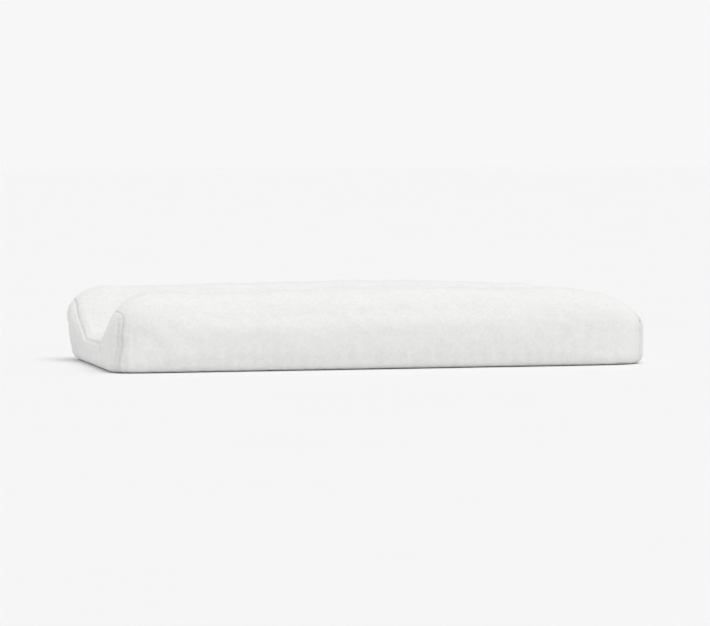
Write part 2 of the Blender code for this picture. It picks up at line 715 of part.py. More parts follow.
def strap_keeper(pivot):
    height = 2 * WEBBING_THICKNESS + 3 * GAP + KEEPER_ROOM
    width = WEBBING_WIDTH + 2 * EDGE_ROOM
    outer_height = height + 2 * KEEPER_WALL
    outer_width = width + 2 * (KEEPER_WALL + KEEPER_CHEEK)
    outlines = [rectangle(outer_height, outer_width), rectangle(height, width)]
    keeper = flat_plate("strap_keeper", outlines, KEEPER_LENGTH, buckle_plastic)
    middle = floor_level(pivot) + WEBBING_THICKNESS + GAP / 2
    hang(keeper, pivot, (KEEPER_AT, 0, middle))
    keeper.rotation_euler = (0, math.pi / 2, 0)


def buckle_half(name, pivot, start, length):
    """The block of a buckle half, notched for the webbing, and the height of its middle from the pivot."""
    block = as_mesh(flat_plate(name, [forked_block(start, start + length)], BUCKLE_HEIGHT))
    block.data.materials.append(buckle_plastic)
    middle = floor_level(pivot) - BUCKLE_FLOOR + BUCKLE_HEIGHT / 2
    hang(block, pivot, (0, 0, middle))
    return block, middle


def webbing_bar(name, block, start):
    """The bar across a buckle half's notch, which the webbing loops round."""
    length = WEBBING_WIDTH + 2 * (EDGE_ROOM + JOIN_OVERLAP)
    bar = rod(name, BAR_RADIUS, length, 12, cutters)
    bar.parent = block
    height = BAR_RADIUS + GAP + WEBBING_THICKNESS + BUCKLE_FLOOR - BUCKLE_HEIGHT / 2
    bar.location = (bar_position(start), 0, height)
    bar.rotation_euler = (math.pi / 2, 0, 0)
    return bar


def buckle_plug(pivot):
    """The plug: a block with a bar for the webbing, and a guide tongue, and a springy prong each side."""
    plug, middle = buckle_half("buckle_plug", pivot, PLUG_START, PLUG_BODY)
    front = PLUG_START + PLUG_BODY
    low = (front - JOIN_OVERLAP, -TONGUE_HALF_WIDTH, -TONGUE_HALF_THICKNESS)
    high = (front + TONGUE_LENGTH, TONGUE_HALF_WIDTH, TONGUE_HALF_THICKNESS)
    tongue = box("tongue", low, high, cutters)
    tongue.parent = plug
    combine(plug, tongue, "UNION")
    combine(plug, webbing_bar("plug_bar", plug, PLUG_START), "UNION")
    for side, hand in (("left", 1), ("right", -1)):
        line = hand * PRONG_MIDDLE
        outline = [(x, hand * y - line) for x, y in PRONG_OUTLINE]
        prong = flat_plate(f"buckle_prong_{side}", [outline], PRONG_THICKNESS, buckle_plastic)
        hang(prong, pivot, (front + PRONG_SET_OFF, line, middle))


def bar_position(start):
    """Where the webbing's bar is in a buckle half that starts there."""
    return start + BAR_INSET


def fork_depth(start):
    """How far along the webbing's notch goes: past the loop round the bar."""
    return bar_position(start) + BAR_RADIUS + WEBBING_THICKNESS + 3 * GAP


def forked_block(start, end):
    """A buckle half's plan outline: a block with a notch for the webbing between two side arms."""
    outer, inner = BUCKLE_WIDTH / 2, WEBBING_WIDTH / 2 + EDGE_ROOM
    deep = fork_depth(start)
    return [
        (start, -outer), (end, -outer), (end, outer), (start, outer),
        (start, inner), (deep, inner), (deep, -inner), (start, -inner),
    ]


def buckle_socket(pivot):
    """The socket: a box open at its mouth, with a window each side for the prongs and a bar for webbing."""
    socket, _ = buckle_half("buckle_socket", pivot, SOCKET_START, SOCKET_LENGTH)
    end = SOCKET_START + SOCKET_LENGTH
    inner = BUCKLE_WIDTH / 2 - SOCKET_WALL
    deep = fork_depth(SOCKET_START) + SOCKET_BACK
    half = BUCKLE_HEIGHT / 2 - SOCKET_WALL
    cavity = box("socket_cavity", (deep, -inner, -half), (end + SOCKET_MOUTH, inner, half), cutters)
    low = (end - WINDOW_FAR, -BUCKLE_WIDTH, -half)
    high = (end - WINDOW_NEAR, BUCKLE_WIDTH, half)
    window = box("socket_windows", low, high, cutters)
    for tool in (cavity, window):
        tool.parent = socket
        combine(socket, tool, "DIFFERENCE")
    combine(socket, webbing_bar("socket_bar", socket, SOCKET_START), "UNION")


def make_belt():
    front = belt_pivot("front", -1)
    rear = belt_pivot("rear", 1)
    bpy.context.view_layer.update()
    webbing_half("front", -1, front, bar_position(PLUG_START), FRONT_TAIL_AT)
    webbing_half("rear", 1, rear, bar_position(SOCKET_START), REAR_TAIL_AT)
    belt_root("front", -1)
    belt_root("rear", 1)
    strap_keeper(front)
    buckle_plug(front)
    buckle_socket(rear)


# --- the pad -----------------------------------------------------------------------------------------------
clear_scene()
parts = new_collection("changing_pad")
cutters = new_collection("cutters")
plush = material("plush", (0.93, 0.93, 0.925), 0.95)
vinyl = material("vinyl", (0.90, 0.91, 0.92), 0.45)
grip_fabric = material("grip_fabric", (0.78, 0.79, 0.80), 0.85)
firm_foam = material("firm_foam", (0.86, 0.85, 0.74), 0.9)
soft_foam = material("soft_foam", (0.90, 0.89, 0.80), 0.9)
elastic = material("elastic", (0.90, 0.90, 0.89), 0.8)
tape = material("tape", (0.90, 0.90, 0.90), 0.7)
webbing_white = material("webbing", (0.88, 0.88, 0.87), 0.75)
buckle_plastic = material("buckle_plastic", (0.85, 0.85, 0.85), 0.35)
nickel = material("nickel", (0.72, 0.72, 0.70), 0.3, 1.0)
brass = material("brass", (0.80, 0.62, 0.30), 0.3, 1.0)
label_white = material("label", (0.92, 0.92, 0.91), 0.6)
make_foam()
make_liner()
make_cover()
make_hem()
make_underside()
make_belt()
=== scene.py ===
# %% [markdown]
# # A contoured changing pad in a plush cover
# The pad is a long block of foam with a raised bolster along each side and a valley between them. A thin
# wipe-clean liner is sewn round the foam, and a white plush fitted cover is pulled over the liner and held
# under it by an elastic hem. A safety belt comes up through two bound slits and lies unfastened between
# the bolsters.
#
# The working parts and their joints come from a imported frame. This lesson makes the visible layers round it:
# the fabric from numpy surfaces, relaxed with Blender's cloth, and every finish from shader nodes.

import math

import bpy
import numpy as np
from mathutils import Matrix, Vector


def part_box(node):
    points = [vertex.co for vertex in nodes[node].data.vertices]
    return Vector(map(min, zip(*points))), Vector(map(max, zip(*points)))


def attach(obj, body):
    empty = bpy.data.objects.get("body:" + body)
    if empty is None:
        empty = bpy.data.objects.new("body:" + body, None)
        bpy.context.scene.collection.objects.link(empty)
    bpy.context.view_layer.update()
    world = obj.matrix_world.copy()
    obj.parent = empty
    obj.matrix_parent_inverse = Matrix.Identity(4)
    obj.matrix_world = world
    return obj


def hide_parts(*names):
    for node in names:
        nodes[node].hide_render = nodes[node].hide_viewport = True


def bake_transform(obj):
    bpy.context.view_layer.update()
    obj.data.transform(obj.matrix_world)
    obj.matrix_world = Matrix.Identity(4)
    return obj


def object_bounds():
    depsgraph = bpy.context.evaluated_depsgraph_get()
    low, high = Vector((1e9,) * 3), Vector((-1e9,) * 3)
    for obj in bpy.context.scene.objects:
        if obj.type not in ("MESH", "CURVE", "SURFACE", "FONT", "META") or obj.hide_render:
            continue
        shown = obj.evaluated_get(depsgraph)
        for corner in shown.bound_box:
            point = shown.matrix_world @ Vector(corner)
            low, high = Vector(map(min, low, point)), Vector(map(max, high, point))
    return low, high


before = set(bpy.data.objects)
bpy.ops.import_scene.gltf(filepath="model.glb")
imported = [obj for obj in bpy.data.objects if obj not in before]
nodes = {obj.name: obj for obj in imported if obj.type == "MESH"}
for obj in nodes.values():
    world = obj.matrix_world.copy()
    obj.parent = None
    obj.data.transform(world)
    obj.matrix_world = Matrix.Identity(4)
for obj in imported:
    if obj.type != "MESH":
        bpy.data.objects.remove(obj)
cad_low, cad_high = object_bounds()
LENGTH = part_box("cover_end_panel_right")[1].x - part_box("cover_end_panel_left")[0].x
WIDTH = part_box("cover_main_panel")[1].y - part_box("cover_main_panel")[0].y
MM = 0.001
print(f"The pad is {LENGTH / MM:.0f} by {WIDTH / MM:.0f} mm, from {len(nodes)} working parts")

# %% [markdown]
# ## The pad's shape in words
# Every layer of the pad, from the foam out to the plush, is the same shape at another depth, so one function
# makes them all. It could be sculpted or lofted from sections. A function of two parameters is used instead,
# because the liner and the foam then follow the cover exactly, and a seam is simply a line on which one
# parameter is constant.
#
# Along the pad and across it, a station says where the rounding of an end or side starts, how far it reaches,
# and how far round it has gone, from 0 on the flat middle to 1 on the upright wall.

# %% Stations along and across the pad
SIDE_ROUND, LEFT_ROUND, RIGHT_ROUND = 53 * MM, 60 * MM, 120 * MM
VALLEY_END_ROUND = 16 * MM
SLOPE_FOOT, SLOPE_TOP = 50 * MM, 150 * MM
VALLEY_HEIGHT, CREST_HEIGHT, CREST_CROWN = 45 * MM, 116 * MM, 4 * MM
WAIST_LOW, WAIST_HIGH = 30 * MM, 58 * MM
BASE_ROUND = 14 * MM
CORNER_POWER = 2.6
SLIT_AT, SLIT_LENGTH = 80 * MM, 27 * MM
SLIT_HALF_WIDTH_Y = 1.0 * MM


def stations(middle, low_reach, high_reach, rounding):
    """Stations over a width: rounding steps of the low end, the middle positions, and of the high end.

    Returns where each station's rounding starts, its signed reach, and how far round it is, from 0 to 1.
    """
    turned = np.linspace(0, 1, rounding + 1)[1:]
    low, high = np.full(rounding, middle[0]), np.full(rounding, middle[-1])
    start = np.concatenate([low, middle, high])
    reach = np.concatenate([np.full(rounding, -low_reach), 0 * middle, np.full(rounding, high_reach)])
    return start, reach, np.concatenate([turned[::-1], 0 * middle, turned])


def joined(*runs):
    """Runs of evenly spaced positions, each (from, to, steps), without repeating where they meet."""
    parts = [np.linspace(a, b, steps + 1)[1:] for a, b, steps in runs]
    return np.concatenate([[runs[0][0]], *parts])


def pad_stations(share):
    """The stations along and across, which include the slits' edges. share divides the number of steps."""
    left, right = LEFT_ROUND - LENGTH / 2, LENGTH / 2 - RIGHT_ROUND
    edge, slit = WIDTH / 2 - SIDE_ROUND, SLIT_LENGTH / 2
    near, far = SLIT_AT - SLIT_HALF_WIDTH_Y, SLIT_AT + SLIT_HALF_WIDTH_Y
    long_runs = ((left, -slit, 76 // share), (-slit, slit, 6), (slit, right, 62 // share))
    slope = ((-edge, -far, 20 // share), (-far, -near, 1), (-near, -SLOPE_FOOT, 8 // share))
    back = tuple((-b, -a, steps) for a, b, steps in reversed(slope))
    floor = ((-SLOPE_FOOT, SLOPE_FOOT, 20 // share),)
    rounding = 28 // share
    along = stations(joined(*long_runs), LEFT_ROUND, RIGHT_ROUND, rounding)
    across = stations(joined(*slope, *floor, *back), SIDE_ROUND, SIDE_ROUND, rounding)
    return along, across


def ease(t):
    """Smoothstep: 0 below 0, 1 above 1, and level at both ends."""
    t = np.clip(t, 0, 1)
    return t * t * (3 - 2 * t)


# %% [markdown]
# ## The skin
# Above its waist the pad turns through a quarter of an ellipse, from the flat top to the upright wall. Where
# an end and a side meet, the turn is shared between them on a superellipse, which is a rounded square corner.
# Below the waist an upright wall goes down to a small rounded base.
#
# The lines of the table run square to each other, but the seam between the top and an end doesn't: it is
# level across the pad and swings out to the corner. So the lines are bent until one of them is the seam.

# %% Points on the skin
WALL_STEPS, BASE_STEPS = 10, 6
SEAM_TURN = 17 / 28  # how far round an end its seam lies
SEAM_SWING = 3  # how late the seam swings out to the corner
SEAM_CORNER = {-1: 1.0, 1: 14 / 28}  # how far round the side it gets there, at the left and right ends


def corner_share(s, t):
    """How a rounding is shared between two directions: s and t divided by their superellipse length."""
    total = (s**CORNER_POWER + t**CORNER_POWER) ** (1 / CORNER_POWER)
    safe = np.where(total > 0, total, 1)
    return s / safe, t / safe


def top_points(along, across):
    """The skin above its waist.

    Height is the waist plus (top - waist) times the cosine of the turn. The plan position moves out by the
    sine of the turn, and the top rises smoothly from the valley to the crests.
    """
    (x0, reach_x, s), (y0, reach_y, t) = along, across
    share_x, share_y = corner_share(s, t)
    turn = np.maximum(s, t) * math.pi / 2
    y = y0 + reach_y * share_y * np.sin(turn)
    rise = ease((abs(y) - SLOPE_FOOT) / (SLOPE_TOP - SLOPE_FOOT))
    reach = VALLEY_END_ROUND + (abs(reach_x) - VALLEY_END_ROUND) * rise
    x = x0 + reach_x - np.sign(reach_x) * reach * (1 - share_x * np.sin(turn))
    crest = CREST_HEIGHT + CREST_CROWN * (1 - (2 * x / LENGTH) ** 2)
    top = VALLEY_HEIGHT + (crest - VALLEY_HEIGHT) * rise
    waist = WAIST_LOW + (WAIST_HIGH - WAIST_LOW) * rise
    return np.stack([x, y, waist + (top - waist) * np.cos(turn)], axis=-1)


def outline_points(along, across, inset):
    """The plan outline set in by inset: each rounding's reach is shortened by it. Height is 0."""
    (x0, reach_x, s), (y0, reach_y, t) = along, across
    share_x, share_y = corner_share(s, t)
    x = x0 + np.sign(reach_x) * np.maximum(abs(reach_x) - inset, 0) * share_x
    y = y0 + np.sign(reach_y) * np.maximum(abs(reach_y) - inset, 0) * share_y
    return np.stack([x, y, 0 * x], axis=-1)


def outline_normals(along, across):
    """The plan outline's outward directions: the superellipse's gradient, share^(power - 1) / reach."""
    (_, reach_x, s), (_, reach_y, t) = along, across
    share_x, share_y = corner_share(s, t)
    power = CORNER_POWER - 1
    lean_x = np.where(s > 0, share_x**power / np.where(reach_x == 0, 1, reach_x), 0)
    lean_y = np.where(t > 0, share_y**power / np.where(reach_y == 0, 1, reach_y), 0)
    lean = np.stack([lean_x, lean_y, 0 * lean_x], axis=-1)
    return lean / np.maximum(np.linalg.norm(lean, axis=-1, keepdims=True), 1e-9)


def seam_line(t, corner):
    """How far round the end's seam is, beside a side that is t round: level, then out to the corner."""
    return SEAM_TURN + (1 - SEAM_TURN) * np.clip(t / corner, 0, 1) ** SEAM_SWING


def drawn_to_seam(s, t, corner):
    """The end's rounding, with its lines bent so that one of them runs along the seam.

    A line inside the seam keeps its share of the way to it, and a line beyond it its share of the rest.
    """
    seam = seam_line(t, corner)
    inside, beyond = s / SEAM_TURN * seam, 1 - (1 - s) / (1 - SEAM_TURN) * (1 - seam)
    return np.where(s <= SEAM_TURN, inside, beyond)


def skin_table(share):
    """The whole skin as one table of points and normals, with rows and columns for the walls round its rim.

    Ring k below the waist is level with the wall's k-th step, and past the wall it goes round the base as
    (1 - cos, 1 - sin) of a quarter turn. The table's four corners, past both a side and an end, aren't used.
    """
    along, across = pad_stations(share)
    wall, base = WALL_STEPS // share, BASE_STEPS // share
    rings = wall + base
    column = np.clip(np.arange(len(along[0]) + 2 * rings) - rings, 0, len(along[0]) - 1)
    row = np.clip(np.arange(len(across[0]) + 2 * rings) - rings, 0, len(across[0]) - 1)
    out_x = abs(np.arange(len(column)) - rings - column)[:, None]
    out_y = abs(np.arange(len(row)) - rings - row)[None, :]
    ring = np.maximum(out_x, out_y)
    start, reach, s_line = (a[column][:, None] for a in along)
    here_across = tuple(a[row][None, :] for a in across)
    corner = np.where(reach > 0, SEAM_CORNER[1], SEAM_CORNER[-1])
    here_along = (start, reach, drawn_to_seam(s_line, here_across[2], corner))
    points = top_points(here_along, here_across)
    turn = np.clip((ring - wall) / base, 0, 1) * math.pi / 2
    down = np.clip(ring / wall, 0, 1)
    foot = outline_points(here_along, here_across, BASE_ROUND * (1 - np.cos(turn)))
    waist = points[..., 2]
    wall_height = waist + (BASE_ROUND - waist) * down
    foot[..., 2] = np.where(ring <= wall, wall_height, BASE_ROUND * (1 - np.sin(turn)))
    out = outline_normals(here_along, here_across) * np.cos(turn)[..., None]
    out[..., 2] -= np.sin(turn)
    inner = (slice(rings, -rings), slice(rings, -rings))
    facing = np.cross(np.gradient(points[inner], axis=0), np.gradient(points[inner], axis=1))
    facing /= np.maximum(np.linalg.norm(facing, axis=-1, keepdims=True), 1e-12)
    normals = np.zeros_like(points)
    normals[inner] = facing
    upright = (ring > 0) | (np.maximum(here_along[2], here_across[2]) == 1)
    return {
        "points": np.where((ring > 0)[..., None], foot, points),
        "normals": np.where(upright[..., None], out, normals),
        "rings": rings,
        "out_x": out_x + 0 * ring,
        "out_y": out_y + 0 * ring,
        "s": here_along[2] + 0 * ring,
        "side_x": np.sign(reach) + 0 * ring,
        "beyond_seam": (s_line > SEAM_TURN - 1e-6) & (here_across[2] <= corner + 1e-6),
    }


coarse = skin_table(2)["points"]
print(f"At half the steps, the skin's table has {coarse.shape[0]} by {coarse.shape[1]} points")

# %% [markdown]
# ## How the foam has settled
# Used foam isn't symmetrical. Its crests dip and rise by a few millimetres, the front left end is worn back
# and the rear left end is fuller. A settling field adds this to every layer at once. It is a sum of soft
# hills along the crests, and of swells that follow how far round an end a point is.

# %% The settling field
CREST_HILLS = {  # height in mm, and place and width along the pad in mm
    "front": ((-3.2, -233, 55), (1.6, -335, 30), (-1.0, 330, 40)),
    "rear": ((-1.5, -310, 60), (1.3, 20, 90)),
}
REAR_SAG, REAR_SAG_FROM, REAR_SAG_RUN = 4.0, 140 * MM, 140 * MM
SHOULDER_FULL, SHOULDER_WORN, RIGHT_WORN = 6.5, 4.0, 2.6
END_WORN, END_FULL, END_FULL_BY = 5.0, 6.5, 0.9


def rising(value, start, run):
    """0 below start, 1 from start + run on, and smooth between them. All three are in metres."""
    return ease((value - start) / run)


def hills(x, side):
    """The sum of a crest's soft hills: each is e to the minus square of the distance from it, in widths."""
    return sum(h * np.exp(-(((x - at * MM) / (width * MM)) ** 2)) for h, at, width in CREST_HILLS[side])


def settling(table):
    """How far the foam has settled, as a vector at each point, worked out in mm and given in metres.

    Along the normal: the crests' hills high up, and at the ends a half sine of how far round the end it is.
    Along the pad: the left end, pushed in at the front and out at the rear.
    """
    points, s = table["points"], table["s"]
    x, y, z = (points[..., k] for k in range(3))
    front, rear = rising(-y, 60 * MM, 60 * MM), rising(y, 60 * MM, 60 * MM)
    rear_crest = hills(x, "rear") - REAR_SAG * rising(x, REAR_SAG_FROM, REAR_SAG_RUN)
    crests = rising(z, 70 * MM, 40 * MM) * (front * hills(x, "front") + rear * rear_crest)
    left, right = s * (table["side_x"] < 0), s * (table["side_x"] > 0)
    swell = SHOULDER_FULL * rear * np.sin(math.pi * left**1.5)
    swell -= SHOULDER_WORN * front * np.sin(math.pi * left)
    swell -= RIGHT_WORN * (front + 0.5 * rear) * np.sin(math.pi * right)
    outward = crests + rising(z, 18 * MM, 45 * MM) * swell
    along = END_WORN * rising(-y, -20 * MM, 70 * MM) - END_FULL * rear
    along = along * ease(left / END_FULL_BY) * rising(z, 4 * MM, 40 * MM)
    return (outward[..., None] * table["normals"] + along[..., None] * np.array([1, 0, 0])) * MM


def settled_skin(share, depth):
    """The skin at one depth: its points moved by the settling, and in along their normals by the depth."""
    table = skin_table(share)
    table["points"] = table["points"] + settling(table) - depth * table["normals"]
    return table


fine = settled_skin(1, 0)
print(f"The cover's table has {fine['points'].shape[0]} by {fine['points'].shape[1]} points")

# %% [markdown]
# ## Cutting the cover's panels
# A fitted cover has one long panel over the top and both sides, and a panel at each end. The end panels join
# it along a seam that runs across the top's edge, swings out to each corner of the plan and goes down it.
#
# The panels could be cut with Booleans. They are picked from the table's cells instead, because one line of
# the table was bent to run along each seam: the cells beyond it belong to the end. The two slits for the belt
# are cells left out of the main panel.

# %% Panels from the table's cells
MAIN, LEFT, RIGHT = "main", "left", "right"


def welded_numbers(points):
    """A vertex number for each point of the table. Points in the same place share the first one's number."""
    place = np.round(points.reshape(-1, 3) / (MM / 1000)).astype(np.int64)
    _, first, shared = np.unique(place, axis=0, return_index=True, return_inverse=True)
    return first[shared.ravel()].reshape(points.shape[:2])


def corners_of(values):
    """A table's values at the four corners of every cell, going round it so that it faces outwards."""
    return np.stack([values[:-1, :-1], values[1:, :-1], values[1:, 1:], values[:-1, 1:]], axis=-1)


def tidy_faces(quads):
    """Quads as they are, and as triangles those that have two corners in one place. Slivers are dropped."""
    same = quads == np.roll(quads, -1, axis=1)
    count = same.sum(axis=1)
    rolled = quads[count == 1]
    first = same[count == 1].argmax(axis=1)
    pick = (first[:, None] + np.array([1, 2, 3])) % 4
    return quads[count == 0], np.take_along_axis(rolled, pick, axis=1)


def panel_faces(table, slits=True):
    """Each panel's quads and triangles, as vertex numbers, with or without the slits cut out."""
    number = corners_of(welded_numbers(table["points"])).reshape(-1, 4)
    wall_x, wall_y = (corners_of(table[k]).reshape(-1, 4).max(axis=1) > 0 for k in ("out_x", "out_y"))
    beyond = corners_of(table["beyond_seam"]).reshape(-1, 4).min(axis=1) > 0
    middle = corners_of(table["points"][..., 0]).reshape(-1, 4).mean(axis=1)
    across = abs(corners_of(table["points"][..., 1]).reshape(-1, 4).mean(axis=1))
    used = ~(wall_x & wall_y)
    if slits:
        used &= (abs(middle) > SLIT_LENGTH / 2) | (abs(across - SLIT_AT) > SLIT_HALF_WIDTH_Y)
    to_end = used & beyond & ~wall_y
    return {
        MAIN: tidy_faces(number[used & ~to_end]),
        LEFT: tidy_faces(number[to_end & (middle < 0)]),
        RIGHT: tidy_faces(number[to_end & (middle > 0)]),
    }


def mesh_of(name, points, faces, smooth=True):
    """A mesh of only the points that its faces use. faces is a list of arrays of vertex numbers."""
    flat = np.concatenate([f.ravel() for f in faces])
    kept, renumbered = np.unique(flat, return_inverse=True)
    lists, at = [], 0
    for block in faces:
        lists += renumbered[at : at + block.size].reshape(block.shape).tolist()
        at += block.size
    mesh = bpy.data.meshes.new(name)
    mesh.from_pydata(points.reshape(-1, 3)[kept].tolist(), [], lists)
    mesh.polygons.foreach_set("use_smooth", np.full(len(mesh.polygons), smooth))
    mesh.update()
    return mesh, kept


def piece(name, mesh, finish=None):
    """An object at the origin for a finished mesh."""
    made = bpy.data.objects.new(name, mesh)
    bpy.context.scene.collection.objects.link(made)
    if finish:
        mesh.materials.append(finish)
    return made


panels = panel_faces(fine)
for name, (quads, triangles) in panels.items():
    print(f"Panel {name}: {len(quads)} quads and {len(triangles)} triangles")

# %% [markdown]
# ## Relaxing the plush
# Plush isn't stretched tight. The seams and the hem hold it, and between them it swells a little off the
# foam, with small wrinkles where there is spare cloth at the corners. Those could be sculpted, but Blender's
# cloth finds them by itself: the seams and hem are pinned, a light pressure fills the cover, gravity is off,
# and the cloth near the corners is given a few per cent more length than the shape has.
#
# The result is kept only as a movement of each point, with a cap, so that the cover can't leave the foam by
# more than a few millimetres or sink into it. In the valley, where the belt lies, it hardly moves.

# %% Cloth simulation of the cover
SWELL_CAP, SINK_CAP, SLIDE_CAP = 5.5 * MM, 1.2 * MM, 3.0 * MM
CLOTH_FRAMES, WEIGHT_STEPS = 20, 8
SPARE_CLOTH, SPARE_REACH = 0.035, 60 * MM
BELT_CLEAR_TO, MIDDLE_LENGTH, END_CALM = 70 * MM, 150 * MM, 0.65


def seam_numbers(faces):
    """The vertices that the main panel shares with an end panel."""
    used = {k: np.unique(np.concatenate([a.ravel() for a in v])) for k, v in faces.items()}
    ends = np.concatenate([used[LEFT], used[RIGHT]])
    return np.intersect1d(used[MAIN], ends)


def nearest_seam(points, seam):
    """Each point's distance to the nearest seam point, and that seam point's place in the list."""
    here, there = points.reshape(-1, 3), points.reshape(-1, 3)[seam]
    squared = (here**2).sum(1)[:, None] + (there**2).sum(1)[None, :] - 2 * here @ there.T
    return np.sqrt(np.maximum(squared.min(axis=1), 0)), squared.argmin(axis=1)


def relaxed(points, faces, held, slack):
    """Where Blender's cloth comes to rest. held and slack are weights of every point, from 0 to 1."""
    mesh, kept = mesh_of("relaxing", points, faces)
    cloth_piece = piece("relaxing", mesh)
    for label, weight in (("held", held), ("slack", slack)):
        group = cloth_piece.vertex_groups.new(name=label)
        steps = np.round(weight[kept] * WEIGHT_STEPS).astype(int)
        for step in range(1, WEIGHT_STEPS + 1):
            group.add(np.flatnonzero(steps == step).tolist(), step / WEIGHT_STEPS, "REPLACE")
    cloth = cloth_piece.modifiers.new("cloth", "CLOTH")
    settings = cloth.settings
    settings.quality = 4
    settings.mass = 0.15
    settings.tension_stiffness = 12
    settings.compression_stiffness = 12
    settings.shear_stiffness = 6
    settings.bending_stiffness = 0.4
    settings.use_pressure = True
    settings.uniform_pressure_force = 3.0
    settings.vertex_group_mass = "held"
    settings.pin_stiffness = 1.0
    settings.vertex_group_shrink = "slack"
    settings.shrink_min = 0.0
    settings.shrink_max = -SPARE_CLOTH
    settings.effector_weights.gravity = 0
    cloth.collision_settings.use_collision = False
    cloth.point_cache.frame_end = CLOTH_FRAMES
    scene = bpy.context.scene
    for step in range(1, CLOTH_FRAMES + 1):
        scene.frame_set(step)
    graph = bpy.context.evaluated_depsgraph_get()
    moved = np.zeros(len(kept) * 3)
    cloth_piece.evaluated_get(graph).data.vertices.foreach_get("co", moved)
    bpy.data.objects.remove(cloth_piece)
    scene.frame_set(1)
    result = points.reshape(-1, 3).copy()
    result[kept] = moved.reshape(-1, 3)
    return result


def capped(size, cap):
    """A length that grows like size while it is small, and never passes cap: cap times tanh(size / cap)."""
    return cap * np.tanh(size / cap)


def swelling(table, faces, seam, gap):
    """The cover's movement off the foam, and how much of it is outward, in the table's own order.

    The cloth's movement is split into a part along the normal and a part along the skin, and each is capped.
    Both fade in the valley's middle, where the belt lies, and are calmer on the ends.
    """
    points, normals = table["points"].reshape(-1, 3), table["normals"].reshape(-1, 3)
    ring = np.maximum(table["out_x"], table["out_y"]).ravel()
    held = np.zeros(len(points))
    held[seam] = 1
    held[ring >= WALL_STEPS] = 1
    slack = np.clip(1.3 * np.exp(-gap / SPARE_REACH), 0, 1)
    all_faces = [a for pair in faces.values() for a in pair]
    moved = relaxed(table["points"], all_faces, held, slack) - points
    outward = (moved * normals).sum(axis=1)
    slide = moved - outward[:, None] * normals
    length = np.linalg.norm(slide, axis=1, keepdims=True)
    slide *= capped(length, SLIDE_CAP) / np.maximum(length, 1e-9)
    lift = np.where(outward > 0, capped(outward, SWELL_CAP), capped(outward, SINK_CAP))
    on_bolster = rising(abs(points[:, 1]), BELT_CLEAR_TO, 50 * MM)
    free = np.maximum(on_bolster, 0.6 * rising(abs(points[:, 0]), MIDDLE_LENGTH, 120 * MM))
    free *= 1 - END_CALM * ease(abs(normals[:, 0]) * 2 - 0.6)
    return (lift[:, None] * normals + slide) * free[:, None], lift * free


whole = panel_faces(fine, slits=False)
seam = seam_numbers(panels)
gap, nearest = nearest_seam(fine["points"], seam)
swell, lift = swelling(fine, whole, seam, gap)
middle, most = np.median(lift) / MM, lift.max() / MM
print(f"The plush swells {middle:.1f} mm at its middle point and {most:.1f} mm at most")

# %% [markdown]
# ## Seams and rumples
# A seam in plush is a narrow valley: the stitches pull both panels in, the nap hides the thread, and the
# cloth puckers in short ripples square to the seam. Beside a corner's seam it also folds along it, with one
# deeper tuck. Over the rest of the cover the nap lies over slow rumples of under a millimetre, left by hands.
# All of these could be sculpted or painted on as relief. Here they move the points along their normals, as
# sums of sine waves and soft valleys of the distance to the seam, so they show in the outline too.

# %% Seam valleys, puckers and rumples
SEAM_DEPTH, SEAM_WIDTH = 2.8 * MM, 4.6 * MM
PUCKER_HEIGHT, PUCKER_REACH, PUCKER_PITCH, PUCKER_SWAY = 1.1 * MM, 15 * MM, 13 * MM, 23 * MM
FOLD_HEIGHT, FOLD_REACH, FOLD_PITCH = 1.2 * MM, 18 * MM, 11 * MM
TUCK_AT, TUCK_WIDTH, TUCK_DEPTH = 8 * MM, 2.4 * MM, 1.8 * MM
GATHER_HEIGHT, GATHER_REACH, GATHER_SPACING, GATHER_SWAY = 1.5 * MM, 22 * MM, 21 * MM, 37 * MM
HEM_FOLD_AT, SLIT_CALM = 9 * MM, 14 * MM
SEAM_COVERED_ABOVE = {"front": 72 * MM, "rear": 84 * MM}


def hill(value, width):
    """A soft hill of height 1 at 0: e to the minus square of the value, in widths."""
    return np.exp(-((value / width) ** 2))


def ripples(points, wavelength, count, seed):
    """Smooth random ripples of about unit height: a sum of sine waves in random directions."""
    draw = np.random.default_rng(seed)
    way = draw.normal(size=(count, 3))
    way /= np.linalg.norm(way, axis=1, keepdims=True)
    length = wavelength * draw.uniform(0.7, 1.4, count)
    phase = draw.uniform(0, 2 * math.pi, count)
    waves = np.sin(points.reshape(-1, 3) @ (way * 2 * math.pi / length[:, None]).T + phase)
    return waves.sum(axis=1) / math.sqrt(count / 2)


def tuck_line(table, gap):
    """The tuck beside each corner seam, for its fold and its painted shade: 1 along a line on the end's side
    of it, fading away from it.
    """
    points = table["points"].reshape(-1, 3)
    on_end = (table["out_x"] > 0) | table["beyond_seam"]
    corner = rising(abs(points[:, 1]), 140 * MM, 20 * MM) * on_end.ravel()
    return hill(gap - TUCK_AT, TUCK_WIDTH) * corner * rising(-points[:, 2], -88 * MM, 25 * MM)


def seam_shows(at_seam):
    """How deep the seam sinks, and how much painted shade it gets: 1, but less high on the left shoulders,
    where the pile closes over it.
    """
    worn = rising(abs(at_seam[:, 1]), 70 * MM, 60 * MM) * (at_seam[:, 0] < 0)
    covered = np.where(at_seam[:, 1] < 0, SEAM_COVERED_ABOVE["front"], SEAM_COVERED_ABOVE["rear"])
    return 1 - 0.8 * worn * rising(at_seam[:, 2], covered, 14 * MM)


